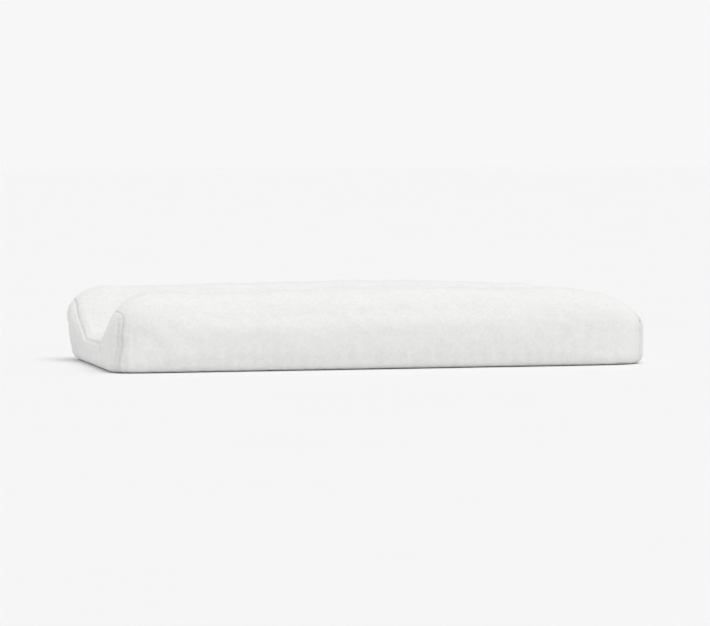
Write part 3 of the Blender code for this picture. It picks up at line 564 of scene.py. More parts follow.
def folds(table, gap, at_seam, tuck):
    """The cover's folds: puckers square to the seams, folds along them on the sides, the tuck, and gathers.

    Puckers and gathers are sine waves of the way along the seam or the rim, whose pitch sways a little.
    """
    points = table["points"].reshape(-1, 3)
    along = at_seam @ np.array([0.7, 1.0, 1.0])
    pucker = np.sin(2 * math.pi * along / PUCKER_PITCH + 1.5 * np.sin(along / PUCKER_SWAY))
    fold = PUCKER_HEIGHT * pucker * np.exp(-gap / PUCKER_REACH) * (1 - hill(gap, 4 * MM))
    below_crest = rising(-points[:, 2], -95 * MM, 40 * MM) * (table["out_x"].ravel() == 0)
    beside = np.sin(2 * math.pi * gap / FOLD_PITCH + 12 * points[:, 2] - 0.6)
    fold += FOLD_HEIGHT * beside * np.exp(-gap / FOLD_REACH) * (1 - hill(gap, SEAM_WIDTH)) * below_crest
    fold -= TUCK_DEPTH * tuck
    rim = points[:, 0] + abs(points[:, 1])
    gather = np.sin(2 * math.pi * rim / GATHER_SPACING + 2.2 * np.sin(rim / GATHER_SWAY))
    near_hem = hill(points[:, 2] - HEM_FOLD_AT, GATHER_REACH) * (table["normals"][..., 2].ravel() < 0.3)
    return fold + GATHER_HEIGHT * gather * near_hem


def rumples(points):
    """Slow and quick random ripples, weaker in the valley and gone where the slits' bindings lie."""
    on_bolster = rising(abs(points[:, 1]), 60 * MM, 50 * MM)
    slow = 0.55 * MM * ripples(points, 85 * MM, 14, 3) * (0.35 + 0.65 * on_bolster)
    quick = 0.22 * MM * ripples(points, 30 * MM, 20, 8) * (0.3 + 0.7 * on_bolster)
    from_slit = np.hypot(abs(points[:, 1]) - SLIT_AT, points[:, 0] / 1.6)
    return (slow + quick) * (1 - hill(from_slit, SLIT_CALM))


def sewn(table, swell, gap, at_seam, tuck, shows):
    """The cover's final points: swollen, then moved along their normals by seams, folds and rumples."""
    points, normals = table["points"].reshape(-1, 3), table["normals"].reshape(-1, 3)
    ring = np.maximum(table["out_x"], table["out_y"]).ravel()
    above_hem = ease((WALL_STEPS + BASE_STEPS - ring) / (BASE_STEPS + 2))
    valley = -SEAM_DEPTH * hill(gap, SEAM_WIDTH) * shows
    push = (folds(table, gap, at_seam, tuck) + valley + rumples(points)) * above_hem
    moved = points + swell + push[:, None] * normals
    moved[:, 2] = np.maximum(moved[:, 2], 0.3 * MM)
    return moved


at_seam = fine["points"].reshape(-1, 3)[seam][nearest]
tuck, shows = tuck_line(fine, gap), seam_shows(at_seam)
cover_points = sewn(fine, swell, gap, at_seam, tuck, shows)
print(f"The cover stands {(cover_points[:, 2].max() - cad_high.z) / MM:.1f} mm above the frame's top")

# %% [markdown]
# ## Where the pile is shaded
# Less light gets into a seam's valley, a tuck and the corners, so the plush's colour is darkened there with
# painted shade, and the finish needs to know where. That mask could be painted. It is worked out instead,
# from the same distance to the seam that made the valley, and each point gets a number from 0 to 1 for its
# painted shade: most at the corners, where the cloth crowds together.

# %% Painted shade of the seams
SHADE_WIDTH, CORNER_SHADE_REACH = 4.5 * MM, 14 * MM
# Painted shade for the plush: a number from 0 to 1 for how much darker its colour is made along each seam, in
# the tuck and round the corners.
corner_down = rising(-at_seam[:, 2], -105 * MM, 30 * MM)
at_corner = rising(abs(at_seam[:, 1]), 165 * MM, 20 * MM) * corner_down
painted_crease_shade = (0.30 + 0.55 * at_corner) * hill(gap, SHADE_WIDTH) * shows
painted_crease_shade = np.clip(painted_crease_shade + 0.8 * tuck + 0.35 * at_corner * np.exp(-gap / CORNER_SHADE_REACH), 0, 1)
print(f"{(painted_crease_shade > 0.5).mean():.1%} of the cover's points lie in deep shade")

# %% [markdown]
# ## Finishes, written as sums
# A shader is a calculation, so it is easier to read as an expression than as a web of boxes. One small class
# wraps a socket, and arithmetic on it adds the Math nodes. A recipe adds any other node, with its settings
# first and then the values or links of its sockets.

# %% A recipe for a finish
class Thread:
    """One socket of a recipe's nodes. Arithmetic on it adds Math nodes."""

    def __init__(self, recipe, socket):
        self.recipe, self.socket = recipe, socket

    def maths(self, operation, *values):
        return self.recipe.add("ShaderNodeMath", {"operation": operation}, dict(enumerate(values)))

    def __add__(self, other):
        return self.maths("ADD", self, other)

    def __sub__(self, other):
        return self.maths("SUBTRACT", self, other)

    def __rsub__(self, other):
        return self.maths("SUBTRACT", other, self)

    def __mul__(self, other):
        return self.maths("MULTIPLY", self, other)

    def __truediv__(self, other):
        return self.maths("DIVIDE", self, other)

    def __abs__(self):
        return self.maths("ABSOLUTE", self)

    __radd__, __rmul__ = __add__, __mul__

    def sine(self):
        return self.maths("SINE", self)

    def fold(self, period):
        """A zigzag of the value, from 0 up to 1 and back over each period."""
        return abs(self.maths("FRACT", self / period) * 2 - 1)


class Recipe:
    """A finish being made: a material with its shader, and the nodes that feed it."""

    def __init__(self, name, **constants):
        self.material = bpy.data.materials.new(name)
        self.material.use_nodes = True
        self.nodes = self.material.node_tree.nodes
        self.links = self.material.node_tree.links
        self.shader = self.nodes["Principled BSDF"]
        self.put(self.shader, {k.replace("_", " "): v for k, v in constants.items()})

    def put(self, node, inputs):
        for key, value in inputs.items():
            if isinstance(value, Thread):
                self.links.new(value.socket, node.inputs[key])
            else:
                node.inputs[key].default_value = value

    def add(self, kind, settings, inputs, output=0):
        """A node of any kind. Settings come first, and a ramp's stops are (position, colour) pairs."""
        node = self.nodes.new(kind)
        stops = settings.pop("stops", None)
        for key, value in settings.items():
            setattr(node, key, value)
        if stops:
            while len(node.color_ramp.elements) < len(stops):
                node.color_ramp.elements.new(1)
            for element, (position, colour) in zip(node.color_ramp.elements, stops):
                element.position, element.color = position, colour
        self.put(node, inputs)
        return Thread(self, node.outputs[output])

    def place(self):
        """The piece's own coordinates, in metres."""
        return self.add("ShaderNodeTexCoord", {}, {}, "Object")

    def axes(self, place):
        """A place's X and Y as two values."""
        return [self.add("ShaderNodeSeparateXYZ", {}, {0: place}, axis) for axis in "XY"]

    def strip_place(self):
        """Across and along a strip of cloth, in metres, from its own map."""
        return self.axes(self.add("ShaderNodeUVMap", {"uv_map": "weave"}, {}))

    def noise(self, place, scale, detail=2.0, roughness=0.5):
        inputs = {"Vector": place, "Scale": scale, "Detail": detail, "Roughness": roughness}
        return self.add("ShaderNodeTexNoise", {}, inputs, "Fac")

    def cells(self, place, scale, feature="F1"):
        inputs = {"Vector": place, "Scale": scale}
        return self.add("ShaderNodeTexVoronoi", {"feature": feature}, inputs, "Distance")

    def mixed(self, share, one, two):
        """Colour one turning into colour two as share goes from 0 to 1."""
        return self.add("ShaderNodeMix", {"data_type": "RGBA"}, {0: share, 6: one, 7: two}, 2)

    def ramp(self, value, *stops):
        return self.add("ShaderNodeValToRGB", {"stops": stops}, {0: value})

    def relief(self, height, distance, strength=1.0):
        """Small relief: a height from 0 to 1, worth distance in metres."""
        inputs = {"Height": height, "Distance": distance, "Strength": strength}
        self.feed(Normal=self.add("ShaderNodeBump", {}, inputs))

    def feed(self, **values):
        self.put(self.shader, {k.replace("_", " "): v for k, v in values.items()})


def grey(level, warmth=0.0):
    """A near-white colour: warmth takes a little blue away and adds a little red."""
    return (level * (1 + warmth / 2), level, level * (1 - warmth), 1)

# %% [markdown]
# ## Plush
# The cover is a short, dense, brushed plush. Up close it is a field of tiny tufts, from further off the nap
# leans this way and that and leaves soft clouds, and every seam is a shade darker, because less light gets
# between the tufts. The clouds and the tufts come from noise at two scales, the seams' painted shade, a darker
# colour mixed in, from the number that each point was given, and the soft bright rim of all pile fabric is the
# shader's sheen.

# %% Plush finish
def plush_finish():
    """Brushed plush: clouds in the nap, tufts, and painted shade, a darker colour, where the seams are."""
    made = Recipe("plush", Roughness=0.92, Sheen_Weight=0.35, Sheen_Roughness=0.45, Specular_IOR_Level=0.2)
    place = made.place()
    clouds = made.noise(place, 45, 3, 0.55)
    tufts = made.noise(place, 520, 2, 0.6)
    clumps = made.noise(place, 190, 3, 0.65)
    # The number of painted shade that each point of the cover carries.
    seam = made.add("ShaderNodeAttribute", {"attribute_name": "painted_crease_shade"}, {}, "Fac")
    lie = made.ramp(clouds * 0.3 + clumps * 0.7, (0.34, grey(0.80, 0.010)), (0.66, grey(0.87, 0.004)))
    # Painted shade: the colour is mixed towards a darker grey by that number, and a little more where the
    # tufts' noise is low.
    deep = made.mixed(seam * 0.45 + (1 - tufts) * 0.08, lie, grey(0.62, 0.02))
    made.feed(Base_Color=deep)
    made.relief(tufts * 0.5 + clumps * 0.5, 1.5 * MM, 0.6)
    return made.material


plush = plush_finish()
print("Plush finish made")

# %% [markdown]
# ## The cover's three panels
# Each panel is cut from the same table of points and given the plush's thickness inwards with Solidify, so
# that its outer face stays where the cloth left it.

# %% Cover panels
PLUSH_THICKNESS = 2.2 * MM


def give_attribute(mesh, name, values):
    """Stores one number for each vertex, for the finish to read."""
    mesh.attributes.new(name, "FLOAT", "POINT").data.foreach_set("value", values.astype(np.float32))


def thicken(made, thickness):
    """Gives a sheet its thickness, inwards."""
    solid = made.modifiers.new("thickness", "SOLIDIFY")
    solid.thickness = thickness
    solid.offset = -1
    return made


def area_of(mesh):
    """The sum of the faces' areas, in square metres."""
    areas = np.zeros(len(mesh.polygons))
    mesh.polygons.foreach_get("area", areas)
    return areas.sum()


COVER_PIECES = {
    MAIN: ("cover_main", "cover_main_panel", (0.865, 0.640)),
    LEFT: ("cover_end_left", "cover_end_panel_left", (0.125, 0.420)),
    RIGHT: ("cover_end_right", "cover_end_panel_right", (0.115, 0.420)),
}
for panel, (quads, triangles) in panels.items():
    name, node, flat = COVER_PIECES[panel]
    mesh, kept = mesh_of(name, cover_points, [quads, triangles])
    # Each panel carries its points' painted shade for the plush finish.
    give_attribute(mesh, "painted_crease_shade", painted_crease_shade[kept])
    made = thicken(piece(name, mesh, plush), PLUSH_THICKNESS)
    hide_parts(node)
    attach(made, "pad")
    cut = 0.97 * area_of(mesh)
    print(f"{name}: {area_of(mesh):.4f} square metres of plush, {len(mesh.polygons)} faces")

# %% [markdown]
# ## The elastic hem
# Under the pad the cover ends in a casing: the cloth is folded back over an elastic, which draws it up into
# gathers. It is a flat tube carried once round the pad's plan outline. Each gather is one wave of its height,
# and the inner edge, where the elastic pulls hardest, wavers in and out with it.

# %% Hem casing
HEM_OUTER, HEM_INNER, HEM_HEIGHT = 12.5 * MM, 41.0 * MM, 3.9 * MM
GATHER_PITCH = 9 * MM
HEM_ROUND, HEM_STEPS = 900, 16


def plan_loop(inset, count):
    """The plan outline set in by inset: count points evenly spaced round it, and how far round they are."""
    along, across = pad_stations(1)
    whole_x, whole_y = [a[:, None] for a in along], [a[None, :] for a in across]
    edge = outline_points(tuple(whole_x), tuple(whole_y), inset)
    turned = np.concatenate([edge[:-1, 0], edge[-1, :-1], edge[:0:-1, -1], edge[0, :0:-1]])
    closed = np.concatenate([turned, turned[:1]])
    run = np.concatenate([[0], np.cumsum(np.linalg.norm(np.diff(closed, axis=0), axis=1))])
    want = np.linspace(0, run[-1], count, endpoint=False)
    return np.stack([np.interp(want, run, closed[:, k]) for k in range(3)], axis=-1), want


def tube_faces(rings, around, closed):
    """Quads for rings of points: around points in each, joined ring to ring, and end to end if closed."""
    number = np.arange(rings * around).reshape(rings, around)
    ahead = np.roll(number, -1, axis=0) if closed else number[1:]
    here = number if closed else number[:-1]
    quads = np.stack([here, ahead, np.roll(ahead, -1, axis=1), np.roll(here, -1, axis=1)], axis=-1)
    return quads.reshape(-1, 4)


def hem_casing():
    """A flattened tube round the outline.

    Inset runs from outer to inner as the cosine of the section's angle, and height as its sine, and gathers
    of the given pitch press the tube down and shift its inner edge.
    """
    angle = np.linspace(0, 2 * math.pi, HEM_STEPS, endpoint=False)
    across = (1 - np.cos(angle)) / 2
    outer, run = plan_loop(HEM_OUTER, HEM_ROUND)
    inner, _ = plan_loop(HEM_INNER, HEM_ROUND)
    gathers = round(run[-1] / GATHER_PITCH)
    turn = np.linspace(0, 2 * math.pi, HEM_ROUND, endpoint=False)
    wave = np.sin(gathers * turn + 1.4 * np.sin(9 * turn) + 0.8 * np.sin(23 * turn + 1))
    tightness = across[None, :] ** 1.5
    height = HEM_HEIGHT * (0.74 + 0.26 * wave[:, None] * tightness)
    share = across[None, :] * (1 + 0.035 * wave[:, None] * tightness)
    place = outer[:, None] + (inner - outer)[:, None] * share[..., None]
    half = np.sign(np.sin(angle)) * abs(np.sin(angle)) ** 0.6
    place[..., 2] = 0.1 * MM + height * (1 + half) / 2
    return place


hem_points = hem_casing()
hem_mesh, _ = mesh_of("cover_hem", hem_points, [tube_faces(HEM_ROUND, HEM_STEPS, True)])
hem = piece("cover_hem", hem_mesh, plush)
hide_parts("cover_hem_casing")
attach(hem, "pad")
print(f"Hem casing: {len(hem_mesh.polygons)} faces and {area_of(hem_mesh):.4f} square metres on its outside")

# %% [markdown]
# ## Finishes for the inner layers
# Vinyl is smooth, with a fine cracked grain. Open foam is all pores, and those could be modelled as holes,
# but they are under two millimetres wide and the cover hides them, so round cells in the relief stand for
# them.

# %% Finishes for the inner layers
def vinyl_finish():
    """Soft vinyl: a fine grain of cells, with slow clouds in its shine."""
    made = Recipe("vinyl", Specular_IOR_Level=0.45, Coat_Weight=0.15, Coat_Roughness=0.35)
    place = made.place()
    grain = made.cells(place, 900, "DISTANCE_TO_EDGE")
    cloud = made.noise(place, 25, 3)
    made.feed(Base_Color=made.mixed(cloud, grey(0.84, 0.01), grey(0.90)), Roughness=cloud * 0.15 + 0.36)
    made.relief(grain, 0.25 * MM, 0.6)
    return made.material


def foam_finish(name, light, dark, pores):
    """Open foam: round pores at two sizes, each a little dark."""
    made = Recipe(name, Roughness=0.95, Specular_IOR_Level=0.1)
    place = made.place()
    small, large = made.cells(place, pores), made.cells(place, pores / 3.1)
    made.feed(Base_Color=made.mixed(small * 0.7 + large * 0.3, dark, light))
    made.relief(small * 0.6 + large * 0.4, 0.8 * MM, 0.8)
    return made.material


vinyl = vinyl_finish()
firm_foam = foam_finish("firm_foam", (0.86, 0.85, 0.73, 1), (0.70, 0.68, 0.52, 1), 900)
soft_foam = foam_finish("soft_foam", (0.90, 0.89, 0.80, 1), (0.76, 0.74, 0.62, 1), 650)
print("Vinyl, firm foam and soft foam made")

# %% [markdown]
# ## Foam and liner
# These lie under the cover, and the same function makes them at their own depths. The liner is a thin vinyl
# shell in six panels: the five that are seen from above are made here, and the flat bottom one keeps its
# frame shape. The foam is a firm slab with a soft bolster bonded along each side, and each is a closed block:
# the skin above, a flat face below, and a wall between their rims.

# %% Liner panels and foam blocks
LINER_DEPTH, LINER_THICKNESS, FOAM_DEPTH = 4.4 * MM, 1.0 * MM, 7.4 * MM
TOE, SLAB_TOP = 62 * MM, 37.6 * MM
INNER_SHARE = 2


def shell_panels(table):
    """The liner's panels: the upper skin, and the walls and base on each of the four sides."""
    number = corners_of(welded_numbers(table["points"])).reshape(-1, 4)
    wall = {k: corners_of(table[f"out_{k}"]).reshape(-1, 4).max(axis=1) > 0 for k in "xy"}
    middle = corners_of(table["points"][..., 0]).reshape(-1, 4).mean(axis=1)
    across = corners_of(table["points"][..., 1]).reshape(-1, 4).mean(axis=1)
    end, side = wall["x"] & ~wall["y"], wall["y"] & ~wall["x"]
    return {
        "liner_top_panel": tidy_faces(number[~wall["x"] & ~wall["y"]]),
        "liner_end_left": tidy_faces(number[end & (middle < 0)]),
        "liner_end_right": tidy_faces(number[end & (middle > 0)]),
        "liner_side_front": tidy_faces(number[side & (across < 0)]),
        "liner_side_rear": tidy_faces(number[side & (across > 0)]),
    }


def block(top, bottom):
    """A closed block between two tables of points: the top, the bottom turned over, and a wall round them."""
    rows, columns = top.shape[:2]
    number = np.arange(rows * columns).reshape(rows, columns)
    upper = corners_of(number).reshape(-1, 4)
    lower = upper[:, ::-1] + number.size
    rim = np.concatenate([number[:-1, 0], number[-1, :-1], number[:0:-1, -1], number[0, :0:-1]])
    after = np.roll(rim, -1)
    wall = np.stack([rim + number.size, after + number.size, after, rim], axis=-1)
    return np.concatenate([top.reshape(-1, 3), bottom.reshape(-1, 3)]), [upper, lower, wall]


liner = settled_skin(INNER_SHARE, LINER_DEPTH)
for name, faces in shell_panels(liner).items():
    mesh, _ = mesh_of(name + "_vinyl", liner["points"], faces)
    made = thicken(piece(name + "_vinyl", mesh, vinyl), LINER_THICKNESS)
    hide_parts(name)
    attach(made, "pad")
    0.97 * area_of(mesh)
    print(f"{name}: {area_of(mesh):.4f} square metres of vinyl")

foam = settled_skin(INNER_SHARE, FOAM_DEPTH)
above = foam["points"][foam["rings"] : -foam["rings"], foam["rings"] : -foam["rings"]]
across_at = above[above.shape[0] // 2, :, 1]


def foam_block(name, columns, floor, ceiling, finish):
    """A block of foam between two heights, from some columns of the foam's skin."""
    top = above[:, columns].copy()
    top[..., 2] = np.clip(top[..., 2], floor + MM, ceiling)
    bottom = top.copy()
    bottom[..., 2] = floor
    bottom[..., :2] *= 1 - 4 * MM / top[..., :2].max() if floor < SLAB_TOP / 2 else 1
    points, faces = block(top, bottom)
    mesh, _ = mesh_of(name, points, faces, False)
    made = piece(name, mesh, finish)
    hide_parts(name.replace("_cut", ""))
    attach(made, "pad")
    return made


front_columns, rear_columns = np.flatnonzero(across_at < -TOE), np.flatnonzero(across_at > TOE)
ceiling = np.where(abs(above[..., 1]) > TOE, SLAB_TOP, 1.0)
foam_block("foam_base_cut", slice(None), FOAM_DEPTH, ceiling, firm_foam)
bolsters = [
    foam_block("foam_bolster_front_cut", front_columns, SLAB_TOP + 0.3 * MM, 1.0, soft_foam),
    foam_block("foam_bolster_rear_cut", rear_columns, SLAB_TOP + 0.3 * MM, 1.0, soft_foam),
]
print(f"Liner in {len(shell_panels(liner))} panels, foam in {1 + len(bolsters)} blocks")

# %% [markdown]
# ## The safety belt
# Each half of the belt is one strip of woven webbing. It is sewn to the liner under the cover, comes up
# through a bound slit in the slope, bends over and lies down the slope to the valley floor, goes round the
# bar of its buckle half and comes back on itself. A strip is a flat rounded section carried along a path, and
# at each point of the path it needs a direction across: that turns a little where the strip leaves the slit.

# %% Where the slits are
def slope_point(x, y):
    """The cover's skin at the middle of the pad: a point, the slope's uphill direction and its normal."""
    side = math.copysign(1, y)
    share = (abs(y) - SLOPE_FOOT) / (SLOPE_TOP - SLOPE_FOOT)
    crest = CREST_HEIGHT + CREST_CROWN * (1 - (2 * x / LENGTH) ** 2)
    height = VALLEY_HEIGHT + (crest - VALLEY_HEIGHT) * float(ease(share))
    steep = (crest - VALLEY_HEIGHT) * 6 * share * (1 - share) / (SLOPE_TOP - SLOPE_FOOT)
    uphill = np.array([0, side, steep]) / math.hypot(1, steep)
    normal = np.array([0, -side * steep, 1]) / math.hypot(1, steep)
    return np.array([x, y, height]), uphill, normal


BELT_TURN = math.radians(15)
PIVOT_Y, PIVOT_Z = 77.141 * MM, 65.164 * MM
WEBBING_WIDTH, WEBBING_THICKNESS = 25 * MM, 1.3 * MM
PLY_GAP, BAR_RADIUS = 0.3 * MM, 1.6 * MM
LAY_HEIGHT = VALLEY_HEIGHT + 2 * MM
ROOT_LENGTH, ROOT_DEPTH, RISE = 16 * MM, 3.4 * MM, 3.6 * MM
BEND_WAY = [(7.4, 58.2), (15, 53.0), (24, 48.8)]
BAR_AT = {"front": 84 * MM, "rear": 90 * MM}
TAIL_AT = {"front": 42 * MM, "rear": 66 * MM}
SIDE_OF = {"front": -1, "rear": 1}


def belt_frame(side):
    """A belt half's pivot, its heading away from the slit and the direction across it."""
    sign = SIDE_OF[side]
    pivot = np.array([0, sign * PIVOT_Y, PIVOT_Z])
    heading = np.array([sign * math.sin(BELT_TURN), -sign * math.cos(BELT_TURN), 0])
    return pivot, heading, np.array([-heading[1], heading[0], 0])


def on_belt(side, distance, height):
    """A point on a belt half's middle line: a distance from its pivot and a height above the ground."""
    pivot, heading, _ = belt_frame(side)
    point = pivot + distance * heading
    return np.array([point[0], point[1], height])


def smoothed(path, times=3):
    """Rounds a path's corners: each pass puts two points, a quarter of each leg away, for each corner."""
    for _ in range(times):
        near, far = path[:-1] * 0.75 + path[1:] * 0.25, path[:-1] * 0.25 + path[1:] * 0.75
        cut = np.stack([near, far], axis=1).reshape(-1, path.shape[1])
        path = np.concatenate([path[:1], cut[1:-1], path[-1:]])
    return path


def belt_path(side):
    """The webbing's centre line with the direction across it at each point.

    The root lies under the skin and comes up through the slit. The bend's way down the slope is given as
    distances from the pivot and heights, in mm. The turn round the bar is half a circle.
    """
    sign, half = SIDE_OF[side], WEBBING_THICKNESS / 2
    _, _, across = belt_frame(side)
    across = across * math.copysign(1, across[0])
    skin, uphill, normal = slope_point(0, sign * SLIT_AT)
    lift = LAY_HEIGHT + half
    bar = BAR_AT[side]
    loop = BAR_RADIUS + PLY_GAP + half
    second = LAY_HEIGHT + WEBBING_THICKNESS + PLY_GAP + half
    turn = np.linspace(-math.pi / 2, math.pi / 2, 9)
    sewn_down = skin - ROOT_DEPTH * normal
    root = [sewn_down + ROOT_LENGTH * uphill, sewn_down + 3 * MM * uphill]
    root += [skin - 3 * MM * normal, skin, skin + RISE * normal]
    free = [on_belt(side, distance * MM, height * MM) for distance, height in BEND_WAY]
    free += [on_belt(side, 34 * MM, lift), on_belt(side, bar - 12 * MM, lift)]
    free += [on_belt(side, bar + loop * math.cos(a), lift + loop + loop * math.sin(a)) for a in turn]
    free += [on_belt(side, bar - 6 * MM, second + 1.6 * MM), on_belt(side, bar - 14 * MM, second)]
    free += [on_belt(side, TAIL_AT[side], second)]
    points = np.array(root + free)
    sideways = np.concatenate([np.tile([1.0, 0, 0], (len(root) - 1, 1)), np.tile(across, (len(free) + 1, 1))])
    both = smoothed(np.concatenate([points, sideways], axis=1))
    return both[:, :3], both[:, 3:]


END_SHARE = 0.02


def strip(path, across, width, thickness, corners=10):
    """A flat strip carried along a path.

    Its section is a superellipse: width along the direction across, thickness along the cross product of that
    and the path's direction. The ends are closed by drawing the last section in to a line.
    """
    ahead = np.gradient(path, axis=0)
    ahead /= np.linalg.norm(ahead, axis=1, keepdims=True)
    across = across - (across * ahead).sum(1)[:, None] * ahead
    across /= np.linalg.norm(across, axis=1, keepdims=True)
    up = np.cross(across, ahead)
    angle = np.linspace(0, 2 * math.pi, 2 * corners, endpoint=False)
    wide = np.sign(np.cos(angle)) * abs(np.cos(angle)) ** 0.35
    deep = np.sign(np.sin(angle)) * abs(np.sin(angle)) ** 0.8
    section = wide[None, :, None] * width / 2 * across[:, None]
    section = section + deep[None, :, None] * thickness / 2 * up[:, None]
    points = path[:, None] + section
    first, last = path[:1, None] + section[:1] * END_SHARE, path[-1:, None] + section[-1:] * END_SHARE
    run = np.concatenate([[0], np.cumsum(np.linalg.norm(np.diff(path, axis=0), axis=1))])
    run = np.concatenate([run[:1], run, run[-1:]])
    flat = np.stack(np.broadcast_arrays(wide[None, :] * width / 2, run[:, None]), axis=-1)
    return np.concatenate([first, points, last]), flat


def strip_mesh(name, path, across, width, thickness):
    """The mesh of a strip, with a map of metres across and along, and closed ends."""
    points, flat = strip(path, across, width, thickness)
    rings, around = points.shape[:2]
    faces = [tube_faces(rings, around, False)]
    caps = np.arange(rings * around).reshape(rings, around)[[0, -1]]
    caps[1] = caps[1][::-1]
    mesh, kept = mesh_of(name, points, [*faces, caps])
    weave = mesh.uv_layers.new(name="weave")
    corner = np.zeros(len(mesh.loops), int)
    mesh.loops.foreach_get("vertex_index", corner)
    weave.data.foreach_set("uv", flat.reshape(-1, 2)[kept][corner].ravel())
    return mesh


print({side: f"turns round its bar {away / MM:.0f} mm out" for side, away in BAR_AT.items()})

# %% [markdown]
# ## The weave
# Webbing's ribs run along it, and the picks that cross them slant away from its middle on both sides. The
# strip carries a map of metres across and along, so the weave follows it round the bar without stretching.

# %% Webbing finish
def webbing_finish():
    """Woven polyester webbing: ribs along the strip, crossed by picks that change slant at its middle."""
    made = Recipe("webbing", Roughness=0.7, Sheen_Weight=0.15, Specular_IOR_Level=0.3)
    across, along = made.strip_place()
    rib = (across * (2 * math.pi / (1.25 * MM))).sine() * 0.5 + 0.5
    pick = (along + abs(across) * 0.55).fold(1.7 * MM)
    fuzz = made.noise(made.place(), 1500, 2)
    thread = rib * 0.45 + pick * 0.45 + fuzz * 0.1
    made.feed(Base_Color=made.mixed(thread, grey(0.66, 0.01), grey(0.87, 0.008)))
    made.relief(thread, 0.35 * MM, 0.9)
    return made.material


webbing = webbing_finish()
print("Webbing finish made")

# %% [markdown]
# ## The two belt halves
# A half is sewn down at one end and swings at its slit. Cutting it in two there would leave a gap when it
# swings, so it stays one piece.

# %% Webbing
for side in ("front", "rear"):
    path, across = belt_path(side)
    mesh = strip_mesh(f"webbing_{side}", path, across, WEBBING_WIDTH, WEBBING_THICKNESS)
    made = piece(f"webbing_{side}", mesh, webbing)
    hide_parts(f"belt_root_{side}", f"belt_webbing_{side}")
    skin, uphill, normal = slope_point(0, SIDE_OF[side] * SLIT_AT)
    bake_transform(made)
    reach = np.linalg.norm(np.diff(path, axis=0), axis=1).sum()
    print(f"Webbing {side}: {reach / MM:.0f} mm long with its fold")

# %% [markdown]
# ## Slit bindings
# A cut in plush would fray, so each slit is bound with twill tape: a flat racetrack with a slit in it, a
# little crowned. It is a section carried round the slit, from its lip to the tape's edge.

# %% Slit bindings
BINDING_LENGTH, BINDING_WIDTH, BINDING_RISE = 36 * MM, 10 * MM, 1.3 * MM
SLIT_WIDTH, BINDING_TUCKED, BINDING_BASE = 1.9 * MM, 1.6 * MM, 0.15 * MM
SLOPE_BEND = 0.009 / MM


def racetrack(length, width, count):
    """A closed outline with straight sides and round ends, as count points at even angles."""
    angle = np.linspace(0, 2 * math.pi, count, endpoint=False)
    x, y = np.cos(angle), np.sin(angle)
    straight = (length - width) / 2
    return np.stack([np.clip(3 * x, -1, 1) * straight + x * width / 2, y * width / 2], axis=-1)


def binding(side):
    """A tape ring round a slit: from its lip to its outer edge, with its height a half sine between them.

    It bends with the slope, whose height off a flat tape is a parabola of the way uphill.
    """
    skin, uphill, normal = slope_point(0, SIDE_OF[side] * SLIT_AT)
    count, steps = 120, 14
    outer, lip = racetrack(BINDING_LENGTH, BINDING_WIDTH, count), racetrack(SLIT_LENGTH, SLIT_WIDTH, count)
    angle = np.linspace(0, 2 * math.pi, steps, endpoint=False)
    share, rise = (1 - np.cos(angle)) / 2, np.sin(angle)
    flat = lip[:, None] + (outer - lip)[:, None] * share[None, :, None]
    crown = abs(rise) ** 0.7
    height = np.where(rise > 0, BINDING_BASE + BINDING_RISE * crown, -BINDING_TUCKED * crown)
    sag = SLOPE_BEND * flat[..., 1] ** 2
    place = skin + flat[..., :1] * np.array([1, 0, 0]) + flat[..., 1:] * uphill
    return place + (height[None, :] + sag)[..., None] * normal


def tape_finish():
    """Twill tape: fine slanting ridges."""
    made = Recipe("binding_tape", Roughness=0.75, Sheen_Weight=0.1, Specular_IOR_Level=0.3)
    x, y = made.axes(made.place())
    ridge = (x + y).fold(0.9 * MM)
    made.feed(Base_Color=made.mixed(ridge, grey(0.74, 0.01), grey(0.88, 0.006)))
    made.relief(ridge, 0.2 * MM, 0.8)
    return made.material


tape = tape_finish()
for side in ("front", "rear"):
    points = binding(side)
    mesh, _ = mesh_of(f"slit_binding_{side}", points, [tube_faces(*points.shape[:2], True)])
    made = piece(f"slit_binding_{side}", mesh, tape)
    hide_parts(f"cover_slit_binding_{side}")
    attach(made, "pad")
print("Both slits bound")

# %% [markdown]
# ## Moulded plastic, metal and the rest
# Parts whose frame shape is already right keep it and only get a finish: moulded plastic with the fine matt
# texture of its mould, plated and brass eyelets with hairline wear, ribbed elastic, and a woven satin label.

# %% Finishes for the small parts
def moulded_finish():
    """Moulded plastic: a very fine matt texture, with shine and shade that vary where hands have been."""
    made = Recipe("buckle_plastic", Specular_IOR_Level=0.4)
    place = made.place()
    matt, wear = made.noise(place, 2600, 2, 0.6), made.noise(place, 90, 3)
    made.feed(Base_Color=made.mixed(wear, grey(0.70, 0.01), grey(0.78, 0.01)), Roughness=wear * 0.15 + 0.34)
    made.relief(matt, 0.06 * MM, 0.5)
    return made.material


def metal_finish(name, light, dark):
    """Plated metal: patches of tarnish between two colours, and fine wear."""
    made = Recipe(name, Metallic=1.0)
    place = made.place()
    tarnish, hairline = made.noise(place, 260, 3), made.noise(place, 3000, 1)
    made.feed(Base_Color=made.mixed(tarnish, dark, light), Roughness=tarnish * 0.2 + 0.22)
    made.relief(hairline, 0.03 * MM, 0.4)
    return made.material


def elastic_finish():
    """Elastic: ribs in both directions, as rubber threads under a knitted face make."""
    made = Recipe("elastic", Roughness=0.8, Specular_IOR_Level=0.25)
    x, y = made.axes(made.place())
    rib = x.fold(1.5 * MM) * 0.5 + y.fold(1.5 * MM) * 0.5
    made.feed(Base_Color=made.mixed(rib, grey(0.72), grey(0.88)))
    made.relief(rib, 0.3 * MM, 0.8)
    return made.material


